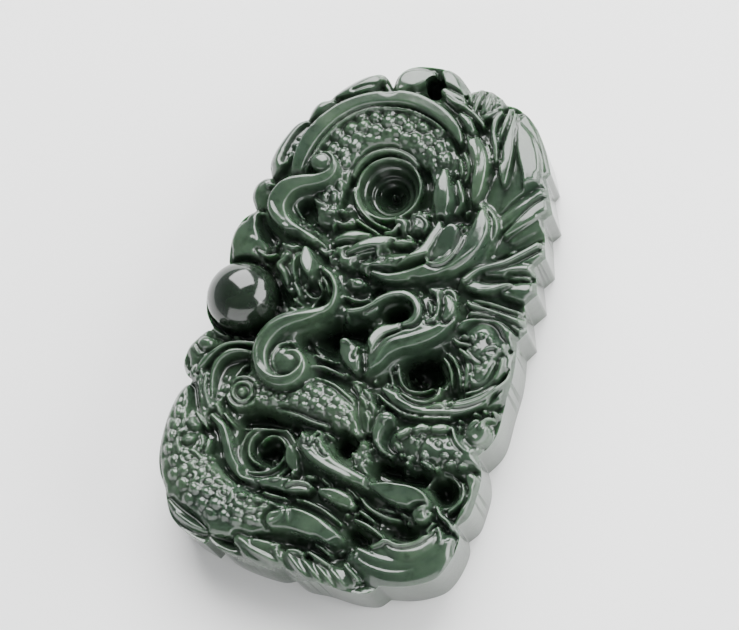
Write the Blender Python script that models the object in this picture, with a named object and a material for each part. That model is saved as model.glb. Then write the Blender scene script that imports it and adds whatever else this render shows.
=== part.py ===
# Carved jade pendant: a thick oval plaque with a coiled dragon in high relief.
# It lies on its flat polished back, relief up (+Z), with the hanging hole towards +Y.
# Everything is worked out in millimetres and turned into metres at the end.
import bpy
import bmesh
import math
from mathutils import Vector

# ------------------------------------------------------------------ sizes, mm
MM = 0.001
EDGE_TOP = 8.0          # height of the plain side wall all round the relief
RELIEF_TOP = 11.0       # highest point of the carving, the crown of the ball
EDGE_ROUND = 0.35       # softened corner between the wall and the front
HOLE_D = 2.2            # drilled hanging hole, front to back
HOLE_AT = (4.0, 26.9)
BALL_R = 4.0            # the pearl beside the dragon's head
BALL_AT = (-12.45, 0.4)
STEP = 2.2              # spacing of the rings along a carved strand
FOOT = 6.6              # level inside the plaque that every strand reaches down to
CENTRE = (0.3, -0.03)   # middle of the outline, moved to the origin at the end

# The relief was laid out on a sheet held at EDGE_TOP and looked at along a
# slanted line, so a ridge above or below that level moves along SLANT.
SLANT = (0.242, -0.272)


def seat(x, y, z):
    """Plan point of a carved ridge, from the layout sheet to its true place."""
    x, y = 1.007 * x, 1.008 * y - 0.015 * x + 0.05
    return x + (z - EDGE_TOP) * SLANT[0], y + (z - EDGE_TOP) * SLANT[1]


# ------------------------------------------------------------------ materials
jade = bpy.data.materials.new("dark_green_jade")
jade.use_nodes = True
bsdf = jade.node_tree.nodes["Principled BSDF"]
bsdf.inputs["Base Color"].default_value = (0.045, 0.095, 0.055, 1.0)
bsdf.inputs["Roughness"].default_value = 0.14
bsdf.inputs["Metallic"].default_value = 0.0
bsdf.inputs["IOR"].default_value = 1.62

# ---------------------------------------------------------------- fresh start
for o in list(bpy.data.objects):
    bpy.data.objects.remove(o, do_unlink=True)
part_coll = bpy.data.collections.new("jade_pendant")
tool_coll = bpy.data.collections.new("carving_tools")
bpy.context.scene.collection.children.link(part_coll)
bpy.context.scene.collection.children.link(tool_coll)


# ------------------------------------------------------------------ geometry
def smooth_line(pts, per_span):
    """Catmull-Rom points through pts, any number of values to a point."""
    n = len(pts)
    out = []
    for i in range(n - 1):
        p1, p2 = pts[i], pts[i + 1]
        p0 = pts[i - 1] if i > 0 else [2 * a - b for a, b in zip(p1, p2)]
        p3 = pts[i + 2] if i + 2 < n else [2 * b - a for a, b in zip(p1, p2)]
        k = per_span(p1, p2) if callable(per_span) else per_span
        for j in range(k):
            t = j / k
            out.append([0.5 * (2 * b + (c - a) * t + (2 * a - 5 * b + 4 * c - d) * t * t
                               + (3 * b - a - 3 * c + d) * t ** 3)
                        for a, b, c, d in zip(p0, p1, p2, p3)])
    out.append(list(pts[-1]))
    return out


# The outline: each run is smooth, and neighbouring runs meet at a sharp corner.
def tooth(tip, nxt):
    return [list(tip), list(nxt)]


OUTLINE_RUNS = [
    # the two leaves over the hanging hole and the ruffled leaf beside them
    [(-0.7, 26.3), (-0.4, 27.6), (0.3, 28.5), (1.4, 29.0), (2.8, 29.15), (4.3, 29.1)],
    [(4.3, 29.1), (5.5, 28.8), (6.4, 28.3), (7.3, 27.4), (8.0, 26.6)],
    [(8.0, 26.6), (8.6, 26.95), (9.4, 27.1), (10.3, 26.9), (11.3, 26.4), (12.0, 25.7)],
    # the broad petal at the upper right
    [(12.0, 25.7), (13.2, 25.5), (14.6, 24.6), (15.8, 23.3), (16.6, 22.0), (17.3, 20.6), (18.1, 18.5)],
    # saw teeth where the mane runs out over the edge
    tooth((18.1, 18.5), (17.7, 17.8)), tooth((17.7, 17.8), (19.0, 14.1)),
    tooth((19.0, 14.1), (18.2, 13.2)), tooth((18.2, 13.2), (19.1, 9.1)),
    tooth((19.1, 9.1), (18.1, 7.9)), tooth((18.1, 7.9), (18.9, 5.0)),
    tooth((18.9, 5.0), (17.7, 3.6)), tooth((17.7, 3.6), (18.5, 0.8)),
    tooth((18.5, 0.8), (17.6, -0.4)),
    # plain right side, then three lobes round to the bottom
    [(17.6, -0.4), (17.8, -2.4), (17.8, -4.4), (17.5, -7.0), (17.2, -10.2), (16.6, -11.8), (15.6, -13.1)],
    [(15.6, -13.1), (16.1, -14.4), (16.35, -15.8), (16.2, -17.6), (15.8, -19.6), (14.8, -20.8)],
    [(14.8, -20.8), (15.1, -22.2), (14.5, -24.6), (13.4, -26.4), (11.6, -27.4), (9.8, -27.9), (7.6, -28.1)],
    # the two leaves of the lower edge
    [(7.6, -28.1), (6.6, -29.0), (5.2, -29.2), (3.6, -29.1), (1.2, -28.7), (-1.3, -28.5), (-2.9, -27.6)],
    [(-2.9, -27.6), (-4.2, -27.9), (-6.5, -27.6), (-8.6, -27.0), (-10.2, -26.1), (-11.2, -25.1), (-11.9, -24.3)],
    [(-11.9, -24.3), (-12.3, -26.2)],
    [(-12.3, -26.2), (-13.6, -25.6), (-14.8, -24.8), (-15.8, -23.9), (-16.4, -22.8), (-17.0, -21.0)],
    # the scaled body along the left side, the small lobe and the ball
    [(-17.0, -21.0), (-18.0, -19.3), (-18.5, -17.2), (-18.45, -14.5), (-18.1, -12.1), (-17.5, -10.4), (-16.4, -9.0)],
    [(-16.4, -9.0), (-17.3, -8.3), (-17.8, -7.0), (-17.5, -5.5), (-16.7, -4.3), (-15.4, -2.9)],
    [(-15.4, -2.9), (-16.25, -1.4), (-16.55, 0.4), (-16.25, 2.2), (-15.0, 4.1)],
    # the round leaf over the ball, and the leaves up the left side
    [(-15.0, 4.1), (-15.2, 6.2), (-15.0, 8.0), (-14.3, 9.6), (-13.1, 10.6)],
    [(-13.1, 10.6), (-13.8, 12.0), (-13.7, 13.3), (-13.1, 14.2), (-12.1, 14.5)],
    [(-12.1, 14.5), (-12.6, 16.0), (-12.3, 17.6), (-11.3, 19.7), (-10.4, 21.0), (-9.3, 21.6)],
    [(-9.3, 21.6), (-9.0, 22.9), (-8.4, 23.8), (-7.4, 24.1)],
    [(-7.4, 24.1), (-6.4, 25.2), (-5.0, 26.4), (-3.6, 27.3), (-2.4, 27.7), (-1.5, 27.3), (-0.7, 26.3)],
]


def outline(per_span=2):
    pts = []
    for run in OUTLINE_RUNS:
        pts += smooth_line(run, per_span if len(run) > 2 else 1)[:-1]
    return pts


# Carved strands: name: (crest height, [(x, y, radius), ...]) on the layout sheet.
STRANDS = {
    # smooth rim over the top left, and the dragon's upper coil inside it
    "rim_arc": (9.9, [(-9.4, 15.2, .7), (-8.8, 17.5, .9), (-6.9, 21.6, .95), (-3, 24.3, .95),
                      (0.5, 24.9, .95), (4.4, 24.0, .9), (7.7, 21.2, .6)]),
    "upper_coil": (10.1, [(-3.6, 10.6, 1.1), (-5.1, 13.6, 1.4), (-4.9, 17.2, 1.8), (-2.6, 20.2, 2.0),
                          (0.9, 21.4, 2.0), (4.2, 20.4, 1.7), (6.2, 18.0, 1.0)]),
    "upper_whisker": (10.4, [(-7.2, 16.0, .6), (-6.3, 16.8, .8), (-6.2, 15.3, .8), (-8.4, 14.3, .85), (-11.1, 13.2, 1.0),
                             (-11.5, 10.9, 1.0), (-9.2, 9.0, .95), (-5.4, 7.6, .55)]),
    # the whisker that ends in the big spiral
    "spiral_whisker": (10.7, [(-5.6, 5.5, .5), (-3.6, 4.3, .7), (-2.9, 2.0, .75), (-5.0, -0.3, .85),
                              (-8.3, -2.2, .95), (-9.5, -5.1, .95), (-7.7, -7.4, .9), (-5.3, -6.7, .75),
                              (-5.1, -4.9, .6), (-6.6, -4.6, .5)]),
    # jaws, horn and brow
    "upper_jaw": (10.5, [(-4.6, 7.9, .6), (-2.2, 7.6, 1.1), (0.6, 8.2, 1.3), (3.6, 9.3, .8)]),
    "cheek": (10.2, [(0.0, 6.2, 1.0), (3.2, 6.6, 1.4), (5.6, 8.6, 1.4), (6.9, 11.2, .8)]),
    "horn": (10.8, [(11.4, 13.6, .4), (11.3, 11.4, .9), (10.3, 9.0, 1.1), (8.4, 6.9, 1.05),
                    (5.6, 5.6, .9), (2.0, 4.8, .7), (-0.9, 5.3, .45)]),
    "ear": (10.4, [(6.6, 17.2, .4), (7.3, 15.2, 1.2), (7.5, 12.9, .7)]),
    "snout_lip": (10.4, [(-1.5, 0.8, .45), (0.8, 1.3, .7), (2.9, 2.8, .75), (5.0, 3.0, .75), (6.3, 1.4, .7)]),
    "lower_jaw": (10.3, [(9.0, 3.4, 1.2), (8.2, 0.8, 1.5), (5.6, -0.8, 1.5), (3.5, -2.6, 1.3), (2.0, -4.9, 1.0)]),
    "tongue": (9.6, [(-0.5, -2.5, .8), (-0.2, -3.6, 1.0), (0.9, -4.9, .7)]),
    # mane petals on the upper right
    "petal_a": (9.9, [(8.8, 21.8, .5), (9.9, 19.3, 1.1), (10.3, 16.6, 1.0), (10.2, 14.8, .5)]),
    "petal_b": (9.6, [(8.2, 25.9, .4), (9.9, 24.8, .7), (11.0, 22.6, .7), (11.5, 19.8, .6), (11.6, 16.5, .4)]),
    "petal_c": (9.4, [(12.9, 24.2, .5), (12.4, 21.9, .7), (12.9, 19.2, .8), (13.0, 16.4, .5)]),
    "petal_d": (9.2, [(14.2, 22.8, .6), (15.2, 20.9, 1.2), (15.4, 18.3, 1.4), (14.9, 15.4, 1.2), (13.2, 10.4, .5)]),
    # ridges of the mane that end as the saw teeth
    "mane_1": (9.0, [(12.8, 11.3, .5), (14.9, 13.2, .8), (17.2, 15.4, .9)]),
    "mane_2": (9.1, [(10.4, 5.7, .5), (12.6, 7.3, .8), (15.2, 8.8, .9), (17.6, 10.6, .9)]),
    "mane_3": (9.1, [(10.6, 5.0, .5), (13.4, 5.0, .8), (15.6, 5.7, .9), (17.4, 6.2, .9)]),
    "mane_4": (9.1, [(11.3, 3.4, .5), (14.2, 3.3, .8), (17.0, 2.5, .9)]),
    # bands round the right-hand hollow
    "band_top": (9.5, [(10.8, 0.9, .5), (13.2, 1.6, .9), (15.6, 1.1, .9), (17.0, -0.6, .8)]),
    "band_side": (9.3, [(17.0, -2.2, .7), (16.5, -4.5, .85), (14.4, -6.8, .9), (11.2, -7.9, .9),
                        (7.8, -8.3, .85), (5.4, -7.6, .5)]),
    "band_low": (9.0, [(4.2, -8.0, .5), (6.4, -9.3, .7), (9.3, -9.7, .7), (12.0, -9.2, .5)]),
    # scaled coil across the middle, and the arch at its left
    "middle_coil": (10.1, [(-10.6, -9.7, 1.3), (-7.6, -9.6, 1.5), (-4.4, -9.4, 1.8), (-1.4, -9.5, 2.1),
                           (1.0, -10.8, 1.8), (2.4, -12.4, 1.0)]),
    "arch": (9.6, [(-10.2, -4.5, .5), (-12.8, -4.9, .7), (-14.7, -6.5, .8), (-15.0, -9.0, .8), (-13.2, -12.5, .6)]),
    "ring_strand": (9.4, [(-13.0, -12.4, .6), (-11.5, -14.8, .9), (-10.7, -17.0, .9), (-8.8, -18.6, .8),
                          (-6.2, -19.2, .8), (-3.4, -18.8, .8), (-0.8, -18.9, .5)]),
    # the big scaled coil round the lower left, running into the smooth tail
    "lower_coil": (10.0, [(-16.2, -10.6, 1.0), (-16.3, -13.2, 1.7), (-15.9, -16.2, 2.2), (-14.2, -19.2, 2.6),
                          (-11.2, -21.3, 2.5), (-7.6, -22.2, 2.0), (-4.2, -22.2, 1.4), (-0.8, -22.4, 1.2),
                          (2.3, -23.6, .8)]),
    # foreleg with its claw, and the leaf it ends in
    "foreleg": (10.2, [(-2.7, -13.5, 1.0), (-1.6, -15.0, 1.0), (1.0, -16.2, .9), (3.6, -17.1, .7), (5.4, -17.9, .6)]),
    "leaf": (10.1, [(5.2, -17.7, .6), (7.2, -17.9, 1.1), (9.4, -18.1, 1.2), (10.9, -19.0, .8)]),
    "leaf_low": (9.2, [(-0.3, -19.0, .5), (1.6, -19.4, .8), (3.3, -20.0, .6)]),
    # clawed foot at the right
    "foot": (9.9, [(7.0, -12.8, 1.1), (9.6, -12.4, 1.7), (12.4, -12.2, 1.8), (14.8, -12.6, 1.0)]),
    "spur": (9.5, [(5.0, -10.4, .7), (5.2, -12.0, 1.0), (6.2, -13.6, .6)]),
    # lobes and leaves along the bottom
    "lobe_right": (9.1, [(14.9, -15.2, .5), (15.8, -16.8, .8), (15.4, -19.0, .7), (14.2, -20.8, .4)]),
    "leaf_b1": (8.9, [(4.4, -21.6, .5), (7.3, -23.0, .7), (9.6, -23.1, .8), (11.7, -21.8, .7), (12.8, -20.6, .4)]),
    "leaf_b2": (8.7, [(4.8, -24.3, .5), (8.0, -25.0, .8), (11.0, -24.2, .8), (13.0, -22.2, .5)]),
    "leaf_b3": (8.5, [(4.4, -26.0, .5), (8.0, -26.6, .7), (11.2, -25.8, .7), (13.5, -23.6, .5)]),
    "leaf_c1": (8.6, [(-8.2, -25.4, .4), (-5.4, -26.4, .9), (-2.6, -26.9, .6)]),
    "leaf_c2": (8.6, [(-4.2, -25.5, .5), (-1.8, -26.4, .9), (0.8, -27.2, .5)]),
    "leaf_c3": (8.6, [(-0.8, -25.7, .5), (1.8, -26.4, .8), (4.4, -27.2, .5)]),
    "leaf_l": (8.6, [(-15.4, -22.9, .4), (-13.8, -23.9, .7), (-12.3, -24.6, .4)]),
    # leaves outside the rim
    "edge_leaf_1": (8.8, [(-11.3, 15.9, .5), (-10.9, 17.6, .8), (-9.6, 19.6, .6)]),
    "edge_leaf_2": (8.7, [(-5.8, 24.8, .4), (-3.9, 25.9, .7), (-1.9, 26.3, .5)]),
    "edge_leaf_3": (8.7, [(0.3, 26.2, .5), (1.3, 26.9, .8), (2.4, 27.2, .5)]),
    "edge_leaf_4": (8.7, [(5.5, 27.4, .4), (6.2, 26.6, .7), (6.6, 25.5, .5)]),
}

# Rounded bosses: name: (x, y, crest height, radius along x, radius along y, depth of dome)
BOSSES = {
    "leaf_over_ball": (-11.6, 7.2, 9.2, 3.0, 3.1, 2.4),
    "small_head": (-7.1, 4.3, 10.0, 2.1, 2.3, 2.0),
    "scaled_side": (14.0, -2.9, 10.0, 2.5, 3.0, 2.6),
    "claw": (-2.5, -13.4, 10.3, 1.3, 1.1, 1.6),
    "leaf_knuckle": (10.5, -19.9, 9.6, 1.0, 1.0, 1.6),
    "side_knob": (15.0, -10.1, 9.6, 1.35, 1.35, 1.8),
    "small_lobe": (-16.0, -5.6, 9.0, 1.4, 1.5, 1.6),
    "tuft": (3.6, -14.9, 9.6, 0.9, 1.4, 1.6),
    "spiral_eye": (-6.7, -5.8, 9.7, 0.8, 0.8, 1.6),
    "curl_eye": (4.6, 11.0, 10.0, 0.8, 0.8, 1.6),
}

# Hollows: name: (x, y, mouth radius, floor radius, floor height, mouth height)
HOLLOWS = {
    "upper_eye": (0.9, 14.9, 3.7, 1.9, 4.4, 9.2),
    "side_eye": (8.0, -4.8, 2.6, 1.5, 4.4, 8.8),
    "lower_eye": (-6.6, -15.5, 2.1, 1.2, 4.6, 8.8),
    "mouth": (-1.6, -2.2, 1.9, 1.1, 4.6, 9.0),
    "nostril": (4.0, 1.3, 1.0, 0.7, 5.4, 9.5),
    "gap_lobe": (12.6, -17.2, 1.2, 0.6, 4.8, 8.8),
    "gap_foot": (1.2, -14.0, 1.1, 0.7, 5.0, 8.8),
    "gap_leaf": (8.6, -21.7, 1.3, 0.7, 5.2, 8.8),
    "gap_whisker": (-8.4, 11.4, 1.3, 0.7, 5.2, 8.8),
}


def link(obj, coll):
    coll.objects.link(obj)
    return obj


def as_mesh(curve_obj, name):
    """A curve's evaluated shape as a closed mesh object in the tool collection."""
    dg = bpy.context.evaluated_depsgraph_get()
    me = bpy.data.meshes.new_from_object(curve_obj.evaluated_get(dg))
    me.name = name
    bm = bmesh.new()
    bm.from_mesh(me)
    bmesh.ops.remove_doubles(bm, verts=bm.verts, dist=0.000001)
    bmesh.ops.dissolve_degenerate(bm, dist=0.0000005, edges=bm.edges)
    bmesh.ops.recalc_face_normals(bm, faces=bm.faces)
    bm.to_mesh(me)
    bm.free()
    obj = bpy.data.objects.new(name, me)
    obj.matrix_world = curve_obj.matrix_world.copy()
    link(obj, tool_coll)
    bpy.data.objects.remove(curve_obj, do_unlink=True)
    return obj


def plaque(name, height):
    """The outline as a flat 2D curve, thickened to the wall height, back at z = 0."""
    cu = bpy.data.curves.new(name, "CURVE")
    cu.dimensions = "2D"
    cu.fill_mode = "BOTH"
    cu.extrude = 0.5 * height * MM
    sp = cu.splines.new("POLY")
    pts = outline()
    sp.points.add(len(pts) - 1)
    for p, (x, y) in zip(sp.points, pts):
        p.co = (x * MM, y * MM, 0.0, 1.0)
    sp.use_cyclic_u = True
    obj = link(bpy.data.objects.new(name + "_line", cu), tool_coll)
    obj.location.z = 0.5 * height * MM
    bpy.context.view_layer.update()
    return as_mesh(obj, name)


def strand(name, crest, pts):
    """A carved strand: a tube whose radius follows the list, rounded off at both ends.

    Below its middle the tube goes straight down into the plaque, so a strand is
    a ridge with a round back and upright sides, never a bar hanging in the air.
    """
    line = []
    for x, y, r in pts:
        X, Y = seat(x, y, crest)
        line.append([X, Y, crest - r, r])
    fine = smooth_line(line, lambda a, b: max(1, round(math.dist(a[:2], b[:2]) / STEP)))

    def nose(p, q):
        d = Vector((p[0] - q[0], p[1] - q[1])).normalized()
        return [p[0] + d.x * 0.6 * p[3], p[1] + d.y * 0.6 * p[3], p[2] - 0.15 * p[3], 0.55 * p[3]]
    fine = [nose(fine[0], fine[1])] + fine + [nose(fine[-1], fine[-2])]
    cu = bpy.data.curves.new(name, "CURVE")
    cu.dimensions = "3D"
    cu.bevel_depth = 1.0 * MM
    cu.bevel_resolution = 2
    cu.use_fill_caps = True
    sp = cu.splines.new("POLY")
    sp.points.add(len(fine) - 1)
    for p, (x, y, z, r) in zip(sp.points, fine):
        p.co = (x * MM, y * MM, z * MM, 1.0)
        p.radius = r
    obj = link(bpy.data.objects.new(name + "_line", cu), tool_coll)
    bpy.context.view_layer.update()
    obj = as_mesh(obj, name)
    for v in obj.data.vertices:
        x, y, z = v.co / MM
        cx, cy, cz, r = min(fine, key=lambda p: (p[0] - x) ** 2 + (p[1] - y) ** 2 + (p[2] - z) ** 2)
        if z < cz - 0.2 * r:
            off = Vector((x - cx, y - cy))
            if off.length > 0.35 * r:
                off *= 0.98 * r / off.length
            v.co = Vector((cx + off.x, cy + off.y, FOOT - 0.4 * (cz - z) / r)) * MM
    return obj


def boss(name, x, y, crest, rx, ry, rz, u=12, v=7):
    X, Y = seat(x, y, crest)
    bm = bmesh.new()
    bmesh.ops.create_uvsphere(bm, u_segments=u, v_segments=v, radius=1.0)
    for vert in bm.verts:
        vert.co = Vector(((X + vert.co.x * rx) * MM, (Y + vert.co.y * ry) * MM,
                          (crest - rz + vert.co.z * rz) * MM))
    me = bpy.data.meshes.new(name)
    bm.to_mesh(me)
    bm.free()
    return link(bpy.data.objects.new(name, me), tool_coll)


def hollow(name, x, y, r_mouth, r_floor, z_floor, z_mouth, sides=16):
    """A tapering pit: a frustum whose mouth stands clear above the carving."""
    over = RELIEF_TOP + 1.0
    grow = (r_mouth - r_floor) / (z_mouth - z_floor)
    X, Y = seat(x, y, EDGE_TOP)
    bm = bmesh.new()
    bmesh.ops.create_cone(bm, cap_ends=True, cap_tris=False, segments=sides,
                          radius1=r_floor * MM, radius2=(r_mouth + grow * (over - z_mouth)) * MM,
                          depth=(over - z_floor) * MM)
    for vert in bm.verts:
        vert.co += Vector((X * MM, Y * MM, 0.5 * (over + z_floor) * MM))
    me = bpy.data.meshes.new(name)
    bm.to_mesh(me)
    bm.free()
    return as_tool(link(bpy.data.objects.new(name, me), tool_coll))


def as_tool(obj):
    obj.hide_render = True
    obj.display_type = "WIRE"
    return obj


def volume(me):
    bm = bmesh.new()
    bm.from_mesh(me)
    v = bm.calc_volume(signed=True)
    bm.free()
    return v


def combine(target, tool, operation):
    """One Boolean, applied at once, so that the body stays a plain closed mesh.

    A strand that touches itself in a tight curl can defeat the exact solver,
    which shows as a volume outside its possible range; it is then joined again
    with the manifold solver.
    """
    as_tool(tool)
    before, other = volume(target.data), volume(tool.data)
    low, high = {"UNION": (before, before + other),
                 "DIFFERENCE": (before - other, before),
                 "INTERSECT": (0.5 * before, before)}[operation]
    slack = 0.02 * 1e-9
    for solver in ("EXACT", "MANIFOLD"):
        mod = target.modifiers.new(tool.name, "BOOLEAN")
        mod.operation = operation
        mod.solver = solver
        mod.object = tool
        dg = bpy.context.evaluated_depsgraph_get()
        me = bpy.data.meshes.new_from_object(target.evaluated_get(dg))
        target.modifiers.clear()
        if low - slack <= volume(me) <= high + slack:
            break
    old = target.data
    target.data = me
    bpy.data.meshes.remove(old)


def soften_front(obj, width):
    """Bevel the corner between the side wall and the front face."""
    bm = bmesh.new()
    bm.from_mesh(obj.data)
    top = 0.5 * EDGE_TOP * MM - 0.00001
    rim = [e for e in bm.edges
           if all(v.co.z > top for v in e.verts) and len(e.link_faces) == 2
           and abs(e.link_faces[0].normal.z - e.link_faces[1].normal.z) > 0.5]
    bmesh.ops.bevel(bm, geom=rim, offset=width * MM, segments=1, profile=0.5,
                    affect="EDGES", clamp_overlap=True)
    bm.to_mesh(obj.data)
    bm.free()


# --------------------------------------------------------------- build it up
body = plaque("jade_pendant", EDGE_TOP)
soften_front(body, EDGE_ROUND)
for tool_name, (crest, pts) in STRANDS.items():
    combine(body, strand(tool_name, crest, pts), "UNION")
for tool_name, (x, y, crest, rx, ry, rz) in BOSSES.items():
    combine(body, boss(tool_name, x, y, crest, rx, ry, rz), "UNION")

# the ball is a whole sphere half sunk in the plaque, its crown the highest point
ball_z = RELIEF_TOP - BALL_R
bx, by = BALL_AT
ball = boss("ball", bx / 1.007, by, RELIEF_TOP, BALL_R, BALL_R, BALL_R, u=24, v=12)
shift = Vector((bx * MM, by * MM, 0)) - Vector((sum((v.co.x for v in ball.data.vertices)) / len(ball.data.vertices),
                                               sum((v.co.y for v in ball.data.vertices)) / len(ball.data.vertices), 0))
for v in ball.data.vertices:
    v.co += shift
combine(body, ball, "UNION")

for tool_name, spec in HOLLOWS.items():
    combine(body, hollow(tool_name, *spec), "DIFFERENCE")

# the drilled hanging hole
bm = bmesh.new()
bmesh.ops.create_cone(bm, cap_ends=True, segments=20, radius1=0.5 * HOLE_D * MM, radius2=0.5 * HOLE_D * MM, depth=30 * MM)
for v in bm.verts:
    v.co += Vector((HOLE_AT[0] * MM, HOLE_AT[1] * MM, 0))
me = bpy.data.meshes.new("hanging_hole")
bm.to_mesh(me)
bm.free()
combine(body, link(bpy.data.objects.new("hanging_hole", me), tool_coll), "DIFFERENCE")

# everything carved stays on or above the back and inside the outline's prism
trim = plaque("outline_prism", RELIEF_TOP + 2.0)
combine(body, trim, "INTERSECT")

# ------------------------------------------------------- clean, centre, finish
bm = bmesh.new()
bm.from_mesh(body.data)
bm.transform(body.matrix_world)
bmesh.ops.remove_doubles(bm, verts=bm.verts, dist=0.000004)
bmesh.ops.dissolve_degenerate(bm, dist=0.000002, edges=bm.edges)
bmesh.ops.dissolve_limit(bm, angle_limit=math.radians(2.0), use_dissolve_boundaries=False,
                         verts=bm.verts, edges=bm.edges)
bmesh.ops.translate(bm, verts=bm.verts, vec=Vector((-CENTRE[0] * MM, -CENTRE[1] * MM, 0.0)))
bm.to_mesh(body.data)
bm.free()
body.matrix_world.identity()
body.data.materials.clear()
body.data.materials.append(jade)
body.data.shade_smooth()
body.data.set_sharp_from_angle(angle=math.radians(40))
tool_coll.objects.unlink(body)
part_coll.objects.link(body)
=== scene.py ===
"""Jade pendant: the finely carved front as one closed mesh, its stone, and a plain
studio setting.  Lengths are millimetres while the relief is being laid out and
metres in the scene."""
import bpy, bmesh
import numpy as np
from mathutils import Matrix, Vector


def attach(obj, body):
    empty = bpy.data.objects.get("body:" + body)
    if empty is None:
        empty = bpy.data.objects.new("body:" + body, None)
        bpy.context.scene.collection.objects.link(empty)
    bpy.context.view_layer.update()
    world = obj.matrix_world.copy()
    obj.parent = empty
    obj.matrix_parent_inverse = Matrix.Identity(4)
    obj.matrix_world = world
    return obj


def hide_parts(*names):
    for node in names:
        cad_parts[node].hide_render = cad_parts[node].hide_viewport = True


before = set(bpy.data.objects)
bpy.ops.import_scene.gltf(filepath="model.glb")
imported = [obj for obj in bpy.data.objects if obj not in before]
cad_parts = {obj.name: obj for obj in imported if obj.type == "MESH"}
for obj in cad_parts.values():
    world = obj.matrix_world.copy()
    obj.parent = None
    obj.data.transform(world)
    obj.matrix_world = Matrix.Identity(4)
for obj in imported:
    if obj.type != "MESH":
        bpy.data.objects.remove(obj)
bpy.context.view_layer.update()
MM = 0.001


# ------------------------------------------------------- the relief as heights
# The carving is a height map over the pendant's plan, in millimetres. Each
# strand, groove, bead and hollow is painted onto it in the order in which the
# forms lie on one another, and the map then becomes the pendant's front.
EDGE_TOP = 8.0
HOLE_D, HOLE_AT = 2.2, (4.0, 26.9)
BALL_R, BALL_AT, BALL_TOP = 4.0, (-12.8, 0.85), 11.0
CENTRE = (0.3, -0.03)
SLANT = (0.242, -0.272)
FINE = 0.074            # spacing of the painted map
KEEP = 2                # every second point of it becomes a vertex
HALF = (19.1, 29.5)


def seat(x, y, z):
    """Plan point of a carved ridge, from the layout sheet to its true place."""
    X, Y = 1.007 * x, 1.008 * y - 0.015 * x + 0.05
    return (X + (z - EDGE_TOP) * SLANT[0] - CENTRE[0],
            Y + (z - EDGE_TOP) * SLANT[1] - CENTRE[1])


def smooth_line(pts, step):
    """Catmull-Rom points through pts, about step apart; each point may hold any values."""
    pts = [tuple(map(float, p)) for p in pts]
    n = len(pts)
    out = []
    for i in range(n - 1):
        p1, p2 = np.array(pts[i]), np.array(pts[i + 1])
        p0 = np.array(pts[i - 1]) if i > 0 else 2 * p1 - p2
        p3 = np.array(pts[i + 2]) if i + 2 < n else 2 * p2 - p1
        k = max(2, int(np.ceil(np.hypot(*(p2 - p1)[:2]) / step)))
        t = (np.arange(k) / k)[:, None]
        out.append(0.5 * (2 * p1 + (p2 - p0) * t + (2 * p0 - 5 * p1 + 4 * p2 - p3) * t * t
                          + (3 * p1 - p0 - 3 * p2 + p3) * t ** 3))
    out.append(np.array([pts[-1]]))
    return np.concatenate(out)


def tooth(tip, nxt):
    return [list(tip), list(nxt)]


OUTLINE_RUNS = [
    [(-0.7, 26.3), (-0.4, 27.6), (0.3, 28.5), (1.4, 29.0), (2.8, 29.15), (4.3, 29.1)],
    [(4.3, 29.1), (5.5, 28.8), (6.4, 28.3), (7.3, 27.4), (8.0, 26.6)],
    [(8.0, 26.6), (8.6, 26.95), (9.4, 27.1), (10.3, 26.9), (11.3, 26.4), (12.0, 25.7)],
    [(12.0, 25.7), (13.2, 25.5), (14.6, 24.6), (15.8, 23.3), (16.6, 22.0), (17.3, 20.6), (18.1, 18.5)],
    tooth((18.1, 18.5), (17.7, 17.8)), tooth((17.7, 17.8), (19.0, 14.1)),
    tooth((19.0, 14.1), (18.2, 13.2)), tooth((18.2, 13.2), (19.1, 9.1)),
    tooth((19.1, 9.1), (18.1, 7.9)), tooth((18.1, 7.9), (18.9, 5.0)),
    tooth((18.9, 5.0), (17.7, 3.6)), tooth((17.7, 3.6), (18.5, 0.8)),
    tooth((18.5, 0.8), (17.6, -0.4)),
    [(17.6, -0.4), (17.8, -2.4), (17.8, -4.4), (17.5, -7.0), (17.2, -10.2), (16.6, -11.8), (15.6, -13.1)],
    [(15.6, -13.1), (16.1, -14.4), (16.35, -15.8), (16.2, -17.6), (15.8, -19.6), (14.8, -20.8)],
    [(14.8, -20.8), (15.1, -22.2), (14.5, -24.6), (13.4, -26.4), (11.6, -27.4), (9.8, -27.9), (7.6, -28.1)],
    [(7.6, -28.1), (6.6, -29.0), (5.2, -29.2), (3.6, -29.1), (1.2, -28.7), (-1.3, -28.5), (-2.9, -27.6)],
    [(-2.9, -27.6), (-4.2, -27.9), (-6.5, -27.6), (-8.6, -27.1), (-9.9, -26.6), (-10.7, -26.1), (-11.2, -25.7)],
    [(-11.2, -25.7), (-11.6, -26.3)],
    [(-11.6, -26.3), (-13.4, -25.6), (-14.8, -24.8), (-15.8, -23.9), (-16.4, -22.8), (-17.0, -21.0)],
    [(-17.0, -21.0), (-18.0, -19.3), (-18.5, -17.2), (-18.45, -14.5), (-18.1, -12.1), (-17.5, -10.4), (-16.4, -9.0)],
    [(-16.4, -9.0), (-17.3, -8.3), (-17.8, -7.0), (-17.5, -5.5), (-16.7, -4.3), (-15.4, -2.9)],
    [(-15.4, -2.9), (-16.5, -1.2), (-16.95, 0.8), (-16.6, 2.5), (-15.0, 4.1)],
    [(-15.0, 4.1), (-15.2, 6.2), (-15.0, 8.0), (-14.3, 9.6), (-13.1, 10.6)],
    [(-13.1, 10.6), (-13.8, 12.0), (-13.7, 13.3), (-13.1, 14.2), (-12.1, 14.5)],
    [(-12.1, 14.5), (-12.6, 16.0), (-12.3, 17.6), (-11.3, 19.7), (-10.4, 21.0), (-9.3, 21.6)],
    [(-9.3, 21.6), (-9.0, 22.9), (-8.4, 23.8), (-7.4, 24.1)],
    [(-7.4, 24.1), (-6.4, 25.2), (-5.0, 26.4), (-3.6, 27.3), (-2.4, 27.7), (-1.5, 27.3), (-0.7, 26.3)],
]


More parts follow.
